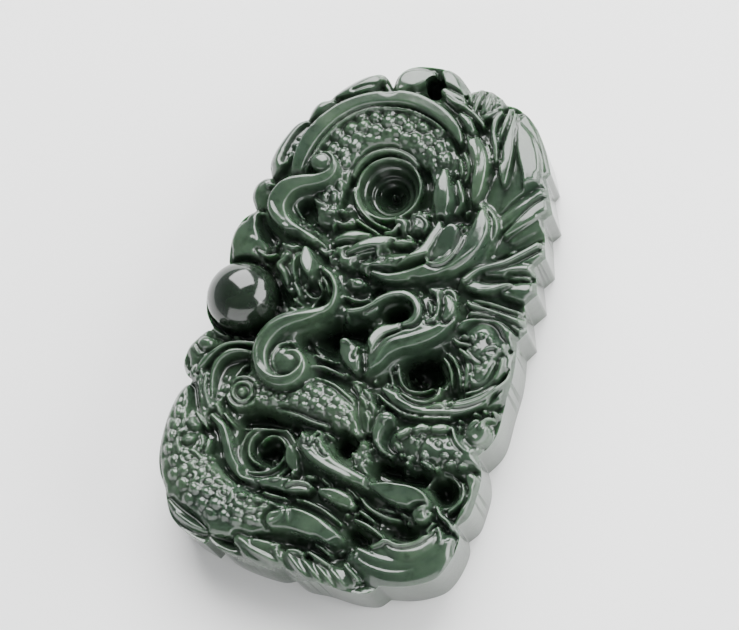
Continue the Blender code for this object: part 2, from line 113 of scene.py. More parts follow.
def outline(step):
    """The pendant's plan outline in its own frame, clockwise, corners kept sharp."""
    out = []
    for run in OUTLINE_RUNS:
        out.append(smooth_line(run, step)[:-1])
    return np.concatenate(out) - np.array(CENTRE)


NX = 2 * int(HALF[0] / FINE) + 1
NY = 2 * int(HALF[1] / FINE) + 1
GX = (np.arange(NX) - NX // 2) * FINE
GY = (np.arange(NY) - NY // 2) * FINE
Z = np.full((NY, NX), 6.4)


def window(x0, x1, y0, y1):
    i0 = int(np.clip(np.floor((x0 - GX[0]) / FINE), 0, NX - 1))
    i1 = int(np.clip(np.ceil((x1 - GX[0]) / FINE) + 1, 1, NX))
    j0 = int(np.clip(np.floor((y0 - GY[0]) / FINE), 0, NY - 1))
    j1 = int(np.clip(np.ceil((y1 - GY[0]) / FINE) + 1, 1, NY))
    sl = (slice(j0, j1), slice(i0, i1))
    X, Y = np.meshgrid(GX[i0:i1], GY[j0:j1])
    return sl, X, Y


def near_line(P, X, Y, reach):
    """Distance from each point to the polyline P, with the values that P carries there.

    Returns distance, side (+ on the left of the line's direction), arc length and values.
    """
    shape = X.shape
    q = np.stack([X.ravel(), Y.ravel()], 1)
    best = np.full(len(q), 1e9)
    side = np.zeros(len(q))
    vals = np.zeros((len(q), P.shape[1] - 2))
    arc = np.zeros(len(q))
    seg = np.hypot(*(P[1:, :2] - P[:-1, :2]).T)
    run = np.concatenate([[0], np.cumsum(seg)])
    # work in pieces of the line, each on the points close to it
    for i in range(0, len(P) - 1, 6):
        j = min(i + 6, len(P) - 1)
        lo = P[i:j + 1, :2].min(0) - reach
        hi = P[i:j + 1, :2].max(0) + reach
        idx = np.nonzero((q[:, 0] > lo[0]) & (q[:, 0] < hi[0]) & (q[:, 1] > lo[1]) & (q[:, 1] < hi[1]))[0]
        if not len(idx):
            continue
        qq = q[idx]
        for k in range(i, j):
            a, b = P[k], P[k + 1]
            d = b[:2] - a[:2]
            L2 = max(d @ d, 1e-12)
            t = np.clip(((qq - a[:2]) @ d) / L2, 0, 1)
            off = qq - (a[:2] + t[:, None] * d)
            dist = np.hypot(off[:, 0], off[:, 1])
            m = dist < best[idx]
            if not m.any():
                continue
            ii = idx[m]
            best[ii] = dist[m]
            side[ii] = np.sign(d[0] * off[m, 1] - d[1] * off[m, 0])
            vals[ii] = a[2:] + t[m, None] * (b[2:] - a[2:])
            arc[ii] = run[k] + t[m] * seg[k]
    return (best.reshape(shape), side.reshape(shape), arc.reshape(shape),
            vals.reshape(shape + (P.shape[1] - 2,)), run[-1])


def spread(v, n):
    v = np.atleast_1d(np.array(v, float))
    return np.interp(np.linspace(0, 1, n), np.linspace(0, 1, len(v)), v) if len(v) > 1 else np.full(n, v[0])


def lay(pts, w, z, step=0.25):
    """A line on the layout sheet with its half-width and crest, placed on the pendant."""
    w, z = spread(w, len(pts)), spread(z, len(pts))
    P = [seat(x, y, c) + (a, c) for (x, y), a, c in zip(pts, w, z)]
    P = smooth_line(P, step)
    P[:, 2] = np.maximum(P[:, 2], 0.03)
    return P


def across(u, kind):
    """Cross-section of a strand: 0 on its crest, 1 at its edge."""
    u = np.clip(u, 0, 1)
    if kind == "round":
        return 1 - np.sqrt(np.maximum(1 - u * u, 0))
    if kind == "soft":
        return u * u
    if kind == "roof":
        return u ** 1.15
    if kind == "flat":
        v = np.clip((u - 0.62) / 0.38, 0, 1)
        return 0.98 * (1 - np.sqrt(np.maximum(1 - v * v, 0))) + 0.02 * u * u
    if kind == "flatter":
        v = np.clip((u - 0.87) / 0.13, 0, 1)
        return 1 - np.sqrt(np.maximum(1 - v * v, 0))
    if kind == "bevel":
        v = np.clip((u - 0.42) / 0.58, 0, 1)
        w = np.clip((u - 0.90) / 0.10, 0, 1)
        return 0.30 * v ** 1.5 + 0.70 * (1 - np.sqrt(np.maximum(1 - w * w, 0)))
    if kind == "facet":
        w = np.clip((u - 0.90) / 0.10, 0, 1)
        return 0.05 * u + 0.95 * (1 - np.sqrt(np.maximum(1 - w * w, 0)))
    raise ValueError(kind)


def strand(pts, w, z, h=1.3, kind="round", mode="over", moat=0.25, slope=2.2, face=None, step=0.25):
    """A raised strand. It covers what lies under it, and a narrow groove sets it off.

    face tips its top: the slopes of the normal along x and y.
    """
    P = lay(pts, w, z, step)
    T = np.gradient(P[:, :2], axis=0)
    T /= np.maximum(np.hypot(T[:, 0], T[:, 1]), 1e-9)[:, None]
    P = np.concatenate([P, T], 1)
    reach = P[:, 2].max() + max(moat, 0) / 1.0 + 1.2
    sl, X, Y = window(P[:, 0].min() - reach, P[:, 0].max() + reach, P[:, 1].min() - reach, P[:, 1].max() + reach)
    d, side, arc, v, total = near_line(P, X, Y, reach)
    wd, c = np.maximum(v[..., 0], 0.03), v[..., 1]
    u = d / wd
    hh = np.minimum(h, 2.2 * wd + 0.15)
    top = c - hh * across(u, kind)
    if face is not None:
        top = top - side * np.clip(u, 0, 1) * wd * (v[..., 2] * face[1] - v[..., 3] * face[0])
    old = Z[sl]
    inside = u < 1
    if mode == "over":
        new = np.where(inside, top, old)
    else:
        new = np.where(inside, np.maximum(top, old), old)
    if moat > 0:
        out = (~inside) & (d < reach)
        new = np.where(out, np.minimum(new, c - hh - moat + slope * (d - wd)), new)
    Z[sl] = new


def ridge(pts, w, add, kind="soft", z=9.0, step=0.25):
    """A thin raised line added to the surface that is already there."""
    P = lay(pts, w, z, step)
    a = smooth_line([(t, v) for t, v in zip(np.linspace(0, 1, max(2, np.size(add))), spread(add, max(2, np.size(add))))], 0.1)
    reach = P[:, 2].max() + 0.2
    sl, X, Y = window(P[:, 0].min() - reach, P[:, 0].max() + reach, P[:, 1].min() - reach, P[:, 1].max() + reach)
    d, side, arc, v, total = near_line(P, X, Y, reach)
    u = np.clip(d / v[..., 0], 0, 1)
    s = np.clip(arc / max(total, 1e-6), 0, 1)
    amp = np.interp(s, a[:, 0], a[:, 1])
    Z[sl] += amp * (1 - u * u) ** 1.5


def groove(pts, w, depth, z=9.0, step=0.25):
    ridge(pts, w, -np.atleast_1d(depth), z=z, step=step)


def bead(x, y, r, z, ry=None, turn=0.0, h=None, moat=0.25, mode="over"):
    """A rounded bead, or an oval one with its long side turned by turn degrees."""
    ry = r if ry is None else ry
    cx, cy = seat(x, y, z)
    R = max(r, ry) + moat + 0.6
    sl, X, Y = window(cx - R, cx + R, cy - R, cy + R)
    a = np.radians(turn)
    lx = (X - cx) * np.cos(a) + (Y - cy) * np.sin(a)
    ly = -(X - cx) * np.sin(a) + (Y - cy) * np.cos(a)
    u = np.hypot(lx / r, ly / ry)
    h = min(r, ry) * 1.1 if h is None else h
    top = z - h * across(u, "round")
    old = Z[sl]
    new = np.where(u < 1, top if mode == "over" else np.maximum(top, old), old)
    if moat > 0:
        dist = (u - 1) * min(r, ry)
        new = np.where(u >= 1, np.minimum(new, z - h - moat + 2.6 * dist), new)
    Z[sl] = new


def dome(x, y, r, add, ry=None, turn=0.0, z=9.0):
    """A low swelling added to the surface that is already there (or a dimple, if add < 0)."""
    ry = r if ry is None else ry
    cx, cy = seat(x, y, z)
    R = max(r, ry) + 0.1
    sl, X, Y = window(cx - R, cx + R, cy - R, cy + R)
    a = np.radians(turn)
    lx = (X - cx) * np.cos(a) + (Y - cy) * np.sin(a)
    ly = -(X - cx) * np.sin(a) + (Y - cy) * np.cos(a)
    u = np.clip(np.hypot(lx / r, ly / ry), 0, 1)
    Z[sl] += add * (1 - u * u) ** 1.5


def pit(x, y, rings, z=8.0, squash=1.0, turn=0.0, lip=None):
    """A turned hollow: rings is a list of (radius, height), outermost last."""
    cx, cy = seat(x, y, z)
    rr = np.array([r for r, _ in rings])
    zz = np.array([h for _, h in rings])
    R = rr[-1] / min(squash, 1.0) + (2.0 if lip else 0.2)
    sl, X, Y = window(cx - R, cx + R, cy - R, cy + R)
    a = np.radians(turn)
    lx = (X - cx) * np.cos(a) + (Y - cy) * np.sin(a)
    ly = (-(X - cx) * np.sin(a) + (Y - cy) * np.cos(a)) / squash
    r = np.hypot(lx, ly)
    h = np.interp(r, rr, zz)
    if zz[0] < 6.3:
        h = h - 1.25 * np.maximum(rr[1] - r, 0)
    out = Z[sl] if lip is None else np.minimum(Z[sl], zz[-1] + lip * (r - rr[-1]))
    Z[sl] = np.where(r < rr[-1], h, out)


def chance(*key):
    """A fixed number from 0 to 1 for each set of whole numbers."""
    v = 0.0
    for i, k in enumerate(key):
        v += (k + 1) * (12.9898, 78.233, 37.719, 9.151)[i]
    v = np.sin(v) * 43758.5453
    return v - np.floor(v)


def scales(pts, halfwidth, z, pitch=1.35, rise=0.5, rows=4, flip=1, span=0.98):
    """Staggered scales along a coil that is already there: rounded studs, some with a dimple."""
    P = lay(pts, halfwidth, z)
    reach = P[:, 2].max() + 0.5
    sl, X, Y = window(P[:, 0].min() - reach, P[:, 0].max() + reach, P[:, 1].min() - reach, P[:, 1].max() + reach)
    seg = np.hypot(*(P[1:, :2] - P[:-1, :2]).T)
    run = np.concatenate([[0], np.cumsum(seg)])
    field = np.zeros(X.shape)
    step = pitch * 0.84
    for i in range(int(run[-1] / step)):
        s = (i + 0.5) * step
        cx, cy, w = (np.interp(s, run, P[:, k]) for k in (0, 1, 2))
        ax, ay = (np.interp(s + 0.2, run, P[:, k]) - np.interp(s - 0.2, run, P[:, k]) for k in (0, 1))
        L = np.hypot(ax, ay)
        ax, ay = ax / L, ay / L
        n = max(2, int(round(rows * min(1.0, w / (0.55 * P[:, 2].max() + 0.4)))))
        for k in range(n + i % 2):
            v = ((k + 0.5 * (1 - i % 2)) / n * 2 - 1) * span
            if abs(v) > 1.0:
                continue
            j1, j2, j3 = chance(i, k, n), chance(k, i, 3), chance(i, 7, k)
            px = cx - ay * v * w + (j1 - 0.5) * 0.2 * pitch
            py = cy + ax * v * w + (j2 - 0.5) * 0.2 * pitch
            ra = pitch * (0.43 + 0.08 * j3)
            rb = 2 * w / n * (0.44 + 0.07 * j1)
            t = (j2 - 0.5) * 0.5
            ux, uy = ax * np.cos(t) - ay * np.sin(t), ax * np.sin(t) + ay * np.cos(t)
            dx, dy = X - px, Y - py
            near = (np.abs(dx) < 1.6) & (np.abs(dy) < 1.6)
            lx, ly = dx[near] * ux + dy[near] * uy, -dx[near] * uy + dy[near] * ux
            r2 = (lx / ra) ** 2 + (ly / rb) ** 2
            d = np.clip(1 - r2, 0, None) ** 0.5
            if j3 > 0.86:
                q = ((lx - 0.18 * flip * ra) / (0.42 * ra)) ** 2 + (ly / (0.42 * rb)) ** 2
                d = d - 0.42 * np.exp(-q)
            edge = 0.55 + 0.45 * min(1.0, 2.2 * (1.02 - abs(v)))
            field[near] = np.maximum(field[near], edge * (0.8 + 0.35 * j2) * d)
    d, side, arc, v, total = near_line(P, X, Y, reach)
    inside = np.clip((v[..., 0] - d) / 0.35 + 0.6, 0, 1) * np.clip(np.minimum(arc, total - arc) / 0.5, 0, 1)
    Z[sl] += np.where(d < 5, rise * (field - 0.42) * inside, 0)


def blur(a, sigma):
    """Gaussian smoothing, sigma in cells."""
    r = int(3 * sigma + 1)
    k = np.exp(-0.5 * (np.arange(-r, r + 1) / sigma) ** 2)
    k /= k.sum()
    for ax in (0, 1):
        p = np.pad(a, [(r, r) if i == ax else (0, 0) for i in (0, 1)], mode="edge")
        out = np.zeros_like(a)
        for i, w in enumerate(k):
            out += w * (p[i:i + a.shape[0], :] if ax == 0 else p[:, i:i + a.shape[1]])
        a = out
    return a


def ease_gaps(a, reach, depth):
    """Fill the narrow gaps up to a little below the forms beside them."""
    top = a
    for ax in (0, 1):
        p = np.pad(top, [(reach, reach) if i == ax else (0, 0) for i in (0, 1)], mode="edge")
        n = top.shape[ax]
        top = np.max([p[i:i + n, :] if ax == 0 else p[:, i:i + n] for i in range(0, 2 * reach + 1, 2)], axis=0)
    return np.maximum(a, blur(top, 4.0) - depth)


def edge_distance():
    """Distance to the outline, positive inside, worked out only near it."""
    O = outline(0.25)
    O = np.concatenate([O, O[:1]])
    P = np.concatenate([O, np.zeros((len(O), 1))], 1)
    X, Y = np.meshgrid(GX, GY)
    d, side, arc, v, total = near_line(P, X, Y, 3.2)
    inside = np.zeros(X.shape, bool)
    # crossings of each grid row with the outline
    for j, y in enumerate(GY):
        a, b = O[:-1], O[1:]
        m = (a[:, 1] > y) != (b[:, 1] > y)
        xs = a[m, 0] + (y - a[m, 1]) * (b[m, 0] - a[m, 0]) / (b[m, 1] - a[m, 1])
        xs.sort()
        for k in range(0, len(xs) - 1, 2):
            inside[j, (GX > xs[k]) & (GX < xs[k + 1])] = True
    d = np.minimum(d, 3.2)
    return np.where(inside, d, -d)


DIST = edge_distance()


# ---------------------------------------------------------------- the ground
Z[:] = 6.0 + 1.5 * np.exp(-(np.maximum(DIST, 0) / 1.3) ** 2)


def upper_leaves():
    """Leaves and ruffles outside the smooth rim, from the left side to the hanging hole."""
    strand([(-12.0, 14.9), (-11.5, 16.4), (-10.9, 18.2), (-10.1, 20.0), (-9.3, 21.0)],
           [.5, 1.0, 1.05, .85, .4], [9.3, 9.05, 8.65, 8.25, 8.0], h=.6, kind="flat", moat=.2, face=(-.15, .30))
    strand([(-12.4, 15.7), (-12.05, 17.0), (-11.5, 18.6), (-10.8, 20.1)], [.22, .36, .36, .22], [8.9, 8.7, 8.35, 8.0],
           h=.4, kind="flat", moat=0, face=(-.7, 0))
    strand([(-10.9, 16.1), (-10.35, 17.9), (-9.7, 19.4), (-9.1, 20.4)], [.25, .42, .4, .25], [8.4, 8.0, 7.65, 7.5],
           h=.15, kind="flat", moat=0)
    for x, y, z in ((-10.5, 17.1, 8.7), (-10.2, 18.1, 8.45), (-9.85, 19.0, 8.2)):
        bead(x, y, .3, z, ry=.14, turn=-15, h=.3, moat=0)
    dome(-10.25, 17.5, .3, -.7, ry=.5)
    dome(-9.85, 18.8, .3, -.7, ry=.45)
    dome(-10.4, 16.2, .35, -.5, ry=.5)
    strand([(-9.1, 21.7), (-8.3, 22.6), (-7.1, 23.5)], [.5, .75, .5], [8.5, 8.8, 8.6], h=.8, moat=.25)
    strand([(-6.6, 24.4), (-5.2, 25.4), (-3.6, 26.2), (-2.3, 26.8)], [.5, .95, 1.0, .5],
           [8.4, 8.8, 8.8, 8.4], h=.6, kind="flat", moat=.2, face=(-.12, .3))
    groove([(-4.9, 25.1), (-3.6, 25.8), (-2.6, 26.1)], .3, .35)
    ridge([(-2.35, 27.0), (-1.85, 26.4), (-1.35, 25.8)], .28, [.1, .4, .3])
    strand([(0.1, 26.2), (0.7, 27.0), (1.8, 27.5), (3.2, 27.9)], [.8, 1.25, 1.2, .6],
           [8.9, 8.9, 8.7, 8.4], h=.6, kind="flat", moat=.25, face=(-.05, .34))
    strand([(5.0, 28.2), (5.9, 27.4), (7.0, 26.6)], [.7, 1.05, .7], [8.3, 8.7, 8.9], h=.6, kind="flat", moat=.25, face=(.18, .32))
    # broad band between the leaves and the rim, with its raised edge line
    strand([(5.0, 26.2), (6.4, 25.4), (8.0, 24.6), (9.6, 23.3)], [.5, .75, .8, .4], [8.6, 8.9, 9.0, 8.9],
           h=.5, kind="flat", moat=.2)
    strand([(7.6, 27.1), (7.85, 26.3), (8.15, 25.3)], [.25, .42, .3], [8.3, 8.9, 8.8], h=.6, moat=.2)
    strand([(8.95, 26.9), (8.85, 25.7), (8.5, 24.3)], [.3, .48, .35], [8.2, 8.9, 9.0], h=.7, moat=.2)
    strand([(11.6, 26.0), (10.9, 25.4), (10.6, 24.7)], [.5, .8, .5], [8.2, 8.7, 8.8], h=.6, kind="soft", moat=.2)
    strand([(10.1, 26.9), (9.85, 25.8), (9.6, 24.4)], [.3, .55, .5], [8.2, 9.0, 9.1], h=.8, moat=.2)
    strand([(11.3, 25.1), (10.6, 24.3), (9.7, 23.9)], [.25, .38, .3], [8.8, 9.2, 9.2], h=.6, moat=.2)
    strand([(5.2, 25.75), (6.2, 25.15), (7.2, 24.85), (8.1, 24.3), (9.0, 23.7), (9.8, 22.9)],
           [.16, .24, .22, .24, .3, .22], 9.3, h=.5, moat=.15)


def upper_mane():
    """The mane over the upper right: petals and long strands running down and left."""
    # the broad smooth surface they lie on
    strand([(14.2, 24.0), (15.0, 21.5), (15.4, 18.5), (15.3, 15.5), (14.0, 12.6)], [1.2, 2.2, 2.7, 2.6, 1.6],
           [8.1, 8.5, 8.7, 8.7, 8.4], h=.9, kind="soft", moat=0)
    strand([(12.9, 16.8), (12.7, 14.2), (12.9, 11.8)], [1.2, 1.6, 1.0], [8.3, 8.1, 7.9], h=.8, kind="soft", mode="max", moat=0)
    # great petal: a broad face turned to the top left
    strand([(13.6, 23.6), (14.5, 22.0), (15.3, 20.0), (15.75, 18.2), (15.85, 16.6), (15.6, 15.0)],
           [.4, 1.05, 1.15, .95, .7, .3], [8.5, 8.9, 9.2, 9.45, 9.6, 9.6], h=.4, kind="flat", moat=.15, face=(.34, .30))
    strand([(12.95, 24.6), (12.75, 22.6), (12.9, 20.6), (12.85, 18.6), (13.1, 16.9)],
           [.28, .6, .68, .72, .35], [8.7, 9.1, 9.35, 9.5, 9.5], h=.6, kind="flat", moat=.2, face=(.16, .36))
    strand([(12.4, 25.1), (12.1, 23.6), (11.85, 22.2), (11.8, 21.0)], [.2, .32, .3, .2], [8.7, 9.1, 9.1, 9.0], h=.7, moat=.25)
    strand([(11.5, 24.6), (10.95, 23.6), (11.0, 22.2), (11.45, 20.8), (11.75, 19.2)],
           [.3, .42, .36, .36, .34], [8.9, 9.3, 9.4, 9.5, 9.4], h=.8, moat=.3)
    strand([(10.5, 20.9), (10.95, 19.9), (11.25, 18.4), (11.3, 16.6)], [.18, .25, .25, .15], [9.2, 9.3, 9.1, 8.8], h=.6, moat=.2)
    # petal beside the ear
    strand([(8.5, 21.9), (9.2, 20.8), (9.9, 19.2), (10.25, 17.4), (10.3, 15.6), (10.2, 14.4)],
           [.5, .9, 1.0, .85, .65, .3], [9.1, 9.5, 9.8, 9.9, 9.7, 9.3], h=.9, kind="flat", moat=.25, face=(.16, .34))
    ridge([(8.9, 21.2), (9.5, 20.0), (9.8, 18.6)], .5, [.1, .22, .05], z=9.8)
    strand([(8.3, 19.6), (8.85, 18.5), (9.0, 17.4), (8.85, 16.6)], [.2, .3, .28, .25], [9.5, 9.6, 9.5, 9.4], h=.7, moat=.25)
    strand([(7.3, 19.4), (7.9, 18.5), (8.35, 17.4), (8.4, 16.6)], [.3, .42, .36, .2], [9.5, 9.7, 9.5, 9.2], h=.8, moat=.25)
    strand([(6.7, 18.6), (7.2, 18.2), (7.8, 17.2)], [.2, .3, .2], [9.2, 9.3, 9.2], h=.6, moat=.2)
    strand([(7.2, 23.8), (7.9, 23.1), (8.7, 22.2)], [.4, .72, .45], [9.3, 9.6, 9.5], h=.9, moat=.3)
    ridge([(6.1, 24.3), (6.4, 23.7), (7.0, 23.2)], .2, [.1, .3, .1])


def upper_coil():
    """The smooth rim, the scaled coil inside it and the stepped hollow it winds round."""
    strand([(-5.3, 10.8), (-5.5, 13.4), (-5.5, 16.0), (-5.2, 18.0), (-3.9, 20.0), (-2.0, 21.2), (0.3, 21.7),
            (2.6, 21.2), (4.6, 20.0), (6.0, 18.3), (6.3, 16.4)],
           [1.3, 1.7, 2.1, 2.5, 2.7, 2.7, 2.7, 2.6, 2.3, 1.8, 1.0], [8.7, 8.9, 9.1, 9.2, 9.3, 9.3, 9.3, 9.2, 9.1, 9.0, 8.8],
           h=.7, kind="soft", moat=.1)
    scales([(-5.1, 11.0), (-5.4, 13.4), (-5.5, 16.0), (-5.3, 18.1), (-4.1, 20.2), (-2.1, 21.5), (0.3, 21.9),
            (2.8, 21.4), (4.7, 20.1), (5.9, 18.3), (6.1, 16.6)],
           [1.2, 1.5, 1.8, 2.1, 2.25, 2.25, 2.2, 2.1, 1.9, 1.4, .8], 9.2, pitch=1.55, rise=.68, rows=3, flip=-1)
    # the rim, and a fine line along its inner side
    strand([(-9.5, 14.6), (-9.35, 16.2), (-9.0, 18.0), (-8.2, 19.9), (-7.0, 21.5), (-5.4, 23.0), (-3.2, 24.15), (-.6, 24.8),
            (1.6, 24.85), (3.6, 24.3), (5.5, 23.3), (6.9, 22.0), (7.7, 20.8)],
           [.5, .85, .95, 1.0, 1.0, .92, .88, .85, .85, .82, .75, .6, .3],
           [9.6, 9.85, 9.95, 10, 10, 10, 10, 10, 10, 9.95, 9.9, 9.7, 9.4], h=1.4, kind="flatter", moat=.3)
    strand([(-8.6, 15.1), (-8.05, 16.9), (-7.35, 18.8), (-6.25, 20.55), (-5.0, 21.85), (-3.5, 22.85),
            (-1.8, 23.4), (0.2, 23.65), (1.95, 23.5), (3.45, 23.05), (4.8, 22.4), (5.7, 21.8)],
           [.14, .18, .18, .18, .18, .17, .17, .17, .17, .17, .15, .1], 9.75, h=.5, moat=.12)
    # the hollow
    pit(.95, 14.6, [(0, 4.9), (1.45, 4.95), (1.7, 5.0), (1.86, 5.5), (2.25, 5.62), (2.45, 5.75), (2.62, 6.6),
                    (3.0, 6.8), (3.15, 7.0), (3.3, 8.25), (3.42, 8.35), (3.62, 8.1), (3.75, 7.9)], z=8.3, lip=1.0)
    strand([(-3.2, 15.6), (-2.7, 17.0), (-1.5, 18.3), (0.4, 18.9), (2.3, 18.5), (3.6, 17.6)],
           [.2, .28, .3, .3, .28, .2], 8.8, h=.6, moat=.15)
    # second ring line low on the left
    strand([(-2.9, 14.3), (-2.4, 12.8), (-1.3, 11.5), (0.2, 10.6), (1.8, 10.2)], [.14, .2, .2, .2, .14], 8.7, h=.5, moat=.15)
    bead(1.65, 14.05, .22, 5.35, h=.2, moat=0)


def head():
    """Brow, horn, ear and cheek of the dragon, seen from the side."""
    # dark pocket under the horn and its row of tufts
    strand([(8.0, 13.8), (8.9, 11.6), (9.0, 9.8), (8.2, 8.4)], [.9, 1.1, 1.0, .7], [7.2, 7.2, 7.2, 7.2], h=.3, kind="soft", moat=0)
    for x, y, a in ((9.75, 13.0, 70), (9.2, 11.6, 65), (9.75, 11.4, 70), (8.3, 11.3, 40), (8.6, 10.6, 50), (8.9, 9.4, 65), (7.6, 7.8, 45)):
        bead(x, y, .42, 8.6, ry=.2, turn=a, h=.5, moat=.15)
    bead(9.0, 12.7, .2, 8.5, h=.4, moat=.1)
    # ear: a teardrop
    strand([(6.5, 17.3), (6.6, 16.2), (6.9, 15.0), (7.1, 13.6), (7.0, 12.2)], [.4, .95, 1.3, 1.25, .7],
           [9.5, 10.0, 10.2, 10.0, 9.5], h=1.3, kind="bevel", moat=.3)
    groove([(7.1, 16.6), (7.5, 15.2), (7.7, 13.6), (7.5, 12.9)], .28, [.1, .4, .3], z=10.2)
    strand([(8.2, 16.4), (8.7, 15.2), (9.0, 14.0), (8.6, 12.8)], [.3, .45, .4, .2], [9.3, 9.5, 9.3, 9.0], h=.9, moat=.25)
    # curl over the cheek
    bead(4.5, 11.1, 1.35, 9.4, ry=1.2, h=.8, moat=.2)
    strand([(3.5, 11.4), (4.2, 12.1), (5.1, 12.0), (5.7, 11.2), (5.6, 10.4)], [.2, .34, .34, .3, .2], 9.5, h=.5, kind="soft", moat=.1)
    dome(4.5, 10.8, .7, .3, ry=.6, z=9.4)
    groove([(3.9, 10.3), (4.6, 10.0), (5.2, 10.3)], .22, .25, z=9.4)
    for x, y in ((4.65, 12.5), (5.2, 12.45), (5.3, 9.3), (5.6, 12.2)):
        bead(x, y, .24, 9.1, h=.4, moat=.15)
    strand([(2.5, 11.2), (3.2, 11.0), (3.4, 10.2)], [.5, .7, .5], 9.0, h=.7, kind="soft", moat=.15)
    strand([(1.4, 9.7), (2.2, 9.9), (2.6, 10.7)], [.22, .3, .25], 9.1, h=.5, moat=.2)
    # lines between hollow and brow at the left
    strand([(-4.4, 9.6), (-4.0, 10.2), (-3.3, 10.0), (-2.6, 10.25), (-1.9, 10.8)], [.2, .3, .3, .35, .3], 9.2, h=.7, moat=.3)
    strand([(-1.9, 10.7), (-1.0, 10.25), (0.0, 9.8), (0.7, 9.5)], [.22, .22, .22, .16], 9.0, h=.6, moat=.25)
    bead(-3.7, 11.5, .5, 9.2, ry=.35, h=.5, moat=.2)
    bead(-4.9, 11.2, .7, 9.2, ry=.35, turn=10, h=.5, moat=.2)
    # brow leaf
    strand([(-3.6, 8.2), (-2.6, 8.7), (-1.4, 9.0), (-.4, 9.2)], [.5, .8, .75, .4], [9.4, 9.6, 9.5, 9.2], h=.9, moat=.3)
    strand([(-3.4, 6.6), (-2.2, 6.7), (-1.0, 6.7), (.5, 7.2), (1.8, 7.6)], [1.0, 1.3, 1.3, 1.0, .6], [9.4, 9.6, 9.7, 9.7, 9.5],
           h=1.0, kind="flat", moat=.25)
    # cheek behind the snout
    strand([(-.2, 5.8), (1.5, 5.9), (3.2, 6.2), (5.0, 6.8), (6.6, 7.6)], [.8, 1.5, 1.7, 1.4, .8], [9.3, 9.6, 9.7, 9.7, 9.6],
           h=.9, kind="soft", moat=.2)
    for x, y, a in ((-1.2, 6.3, 60), (0.1, 6.9, 55), (.3, 5.4, 50), (1.6, 6.0, 40), (2.2, 5.5, 45), (3.5, 5.1, 65),
                    (4.8, 5.2, 20), (2.4, 6.9, 30), (1.3, 7.0, 50)):
        dome(x, y, .62, .42, ry=.26, turn=a, z=9.8)
        dome(x + .35, y - .3, .5, -.35, ry=.2, turn=a, z=9.8)
    # nose bridge: its upper face is turned to the light
    strand([(-2.2, 7.1), (-1.2, 7.9), (0.0, 8.5), (1.2, 8.8), (2.5, 9.15)], [.3, .5, .62, .7, .35],
           [9.8, 10.1, 10.2, 10.2, 10.0], h=.9, kind="flat", moat=.25, face=(-.03, .34))
    strand([(.85, 8.6), (.95, 7.9), (.95, 7.2)], [.35, .3, .15], [10.2, 10.1, 9.9], h=.5, mode="max", moat=0)
    strand([(2.7, 8.75), (3.5, 8.95), (4.3, 9.15)], [.3, .48, .35], 9.9, h=.7, moat=.25)
    bead(4.0, 9.6, .5, 9.6, ry=.24, turn=-12, h=.5, moat=.2)
    # leaf from the curl down over the cheek
    strand([(7.0, 11.5), (6.9, 10.2), (6.5, 8.9), (5.8, 8.0), (4.6, 7.2), (3.4, 6.4)], [.35, .95, 1.1, 1.0, .7, .35],
           [9.5, 9.8, 10.05, 10.25, 10.4, 10.2], h=1.0, kind="flat", moat=.35, face=(-.1, .32))
    strand([(6.7, 6.7), (5.4, 6.0), (4.3, 5.8)], [.5, .6, .4], [9.9, 9.8, 9.7], h=.5, kind="soft", moat=.1)
    # horn
    strand([(11.7, 14.0), (12.6, 13.0), (13.1, 11.6), (12.9, 10.2)], [.22, .36, .4, .2], [9.3, 9.4, 9.2, 8.9], h=.7, moat=.25)
    strand([(11.2, 13.8), (11.35, 12.4), (11.2, 11.0), (10.5, 9.4), (9.5, 8.1), (8.2, 7.0), (6.4, 6.2), (4.6, 5.4),
            (2.6, 4.9), (0.8, 5.2)],
           [.3, .85, 1.1, 1.25, 1.25, 1.15, .9, .75, .6, .3],
           [10.3, 10.7, 10.8, 10.8, 10.7, 10.5, 10.2, 9.9, 9.7, 9.5], h=1.5, kind="bevel", moat=.5)
    strand([(7.3, 8.1), (8.0, 9.2), (8.4, 10.9)], [.7, 1.05, .85], [9.4, 9.4, 9.5], h=.15, kind="flat", moat=0)
    strand([(6.2, 7.5), (6.6, 7.05), (7.4, 7.0), (8.3, 7.45), (9.0, 8.4), (9.5, 9.5), (9.9, 10.6)],
           [.14, .26, .28, .28, .26, .24, .14], [10.2, 10.5, 10.7, 10.85, 10.85, 10.75, 10.5], h=.6, moat=.1)
    strand([(11.1, 14.3), (10.9, 13.9)], [.18, .25], 10.2, h=.5, moat=.1)
    ridge([(12.2, 12.6), (12.2, 11.0), (11.6, 9.3), (10.3, 7.8), (8.6, 6.4), (6.6, 5.6), (4.4, 4.9), (2.4, 4.3), (0.8, 4.8)],
          .2, [.05, .2, .2, .2, .15, .1], z=10.2)


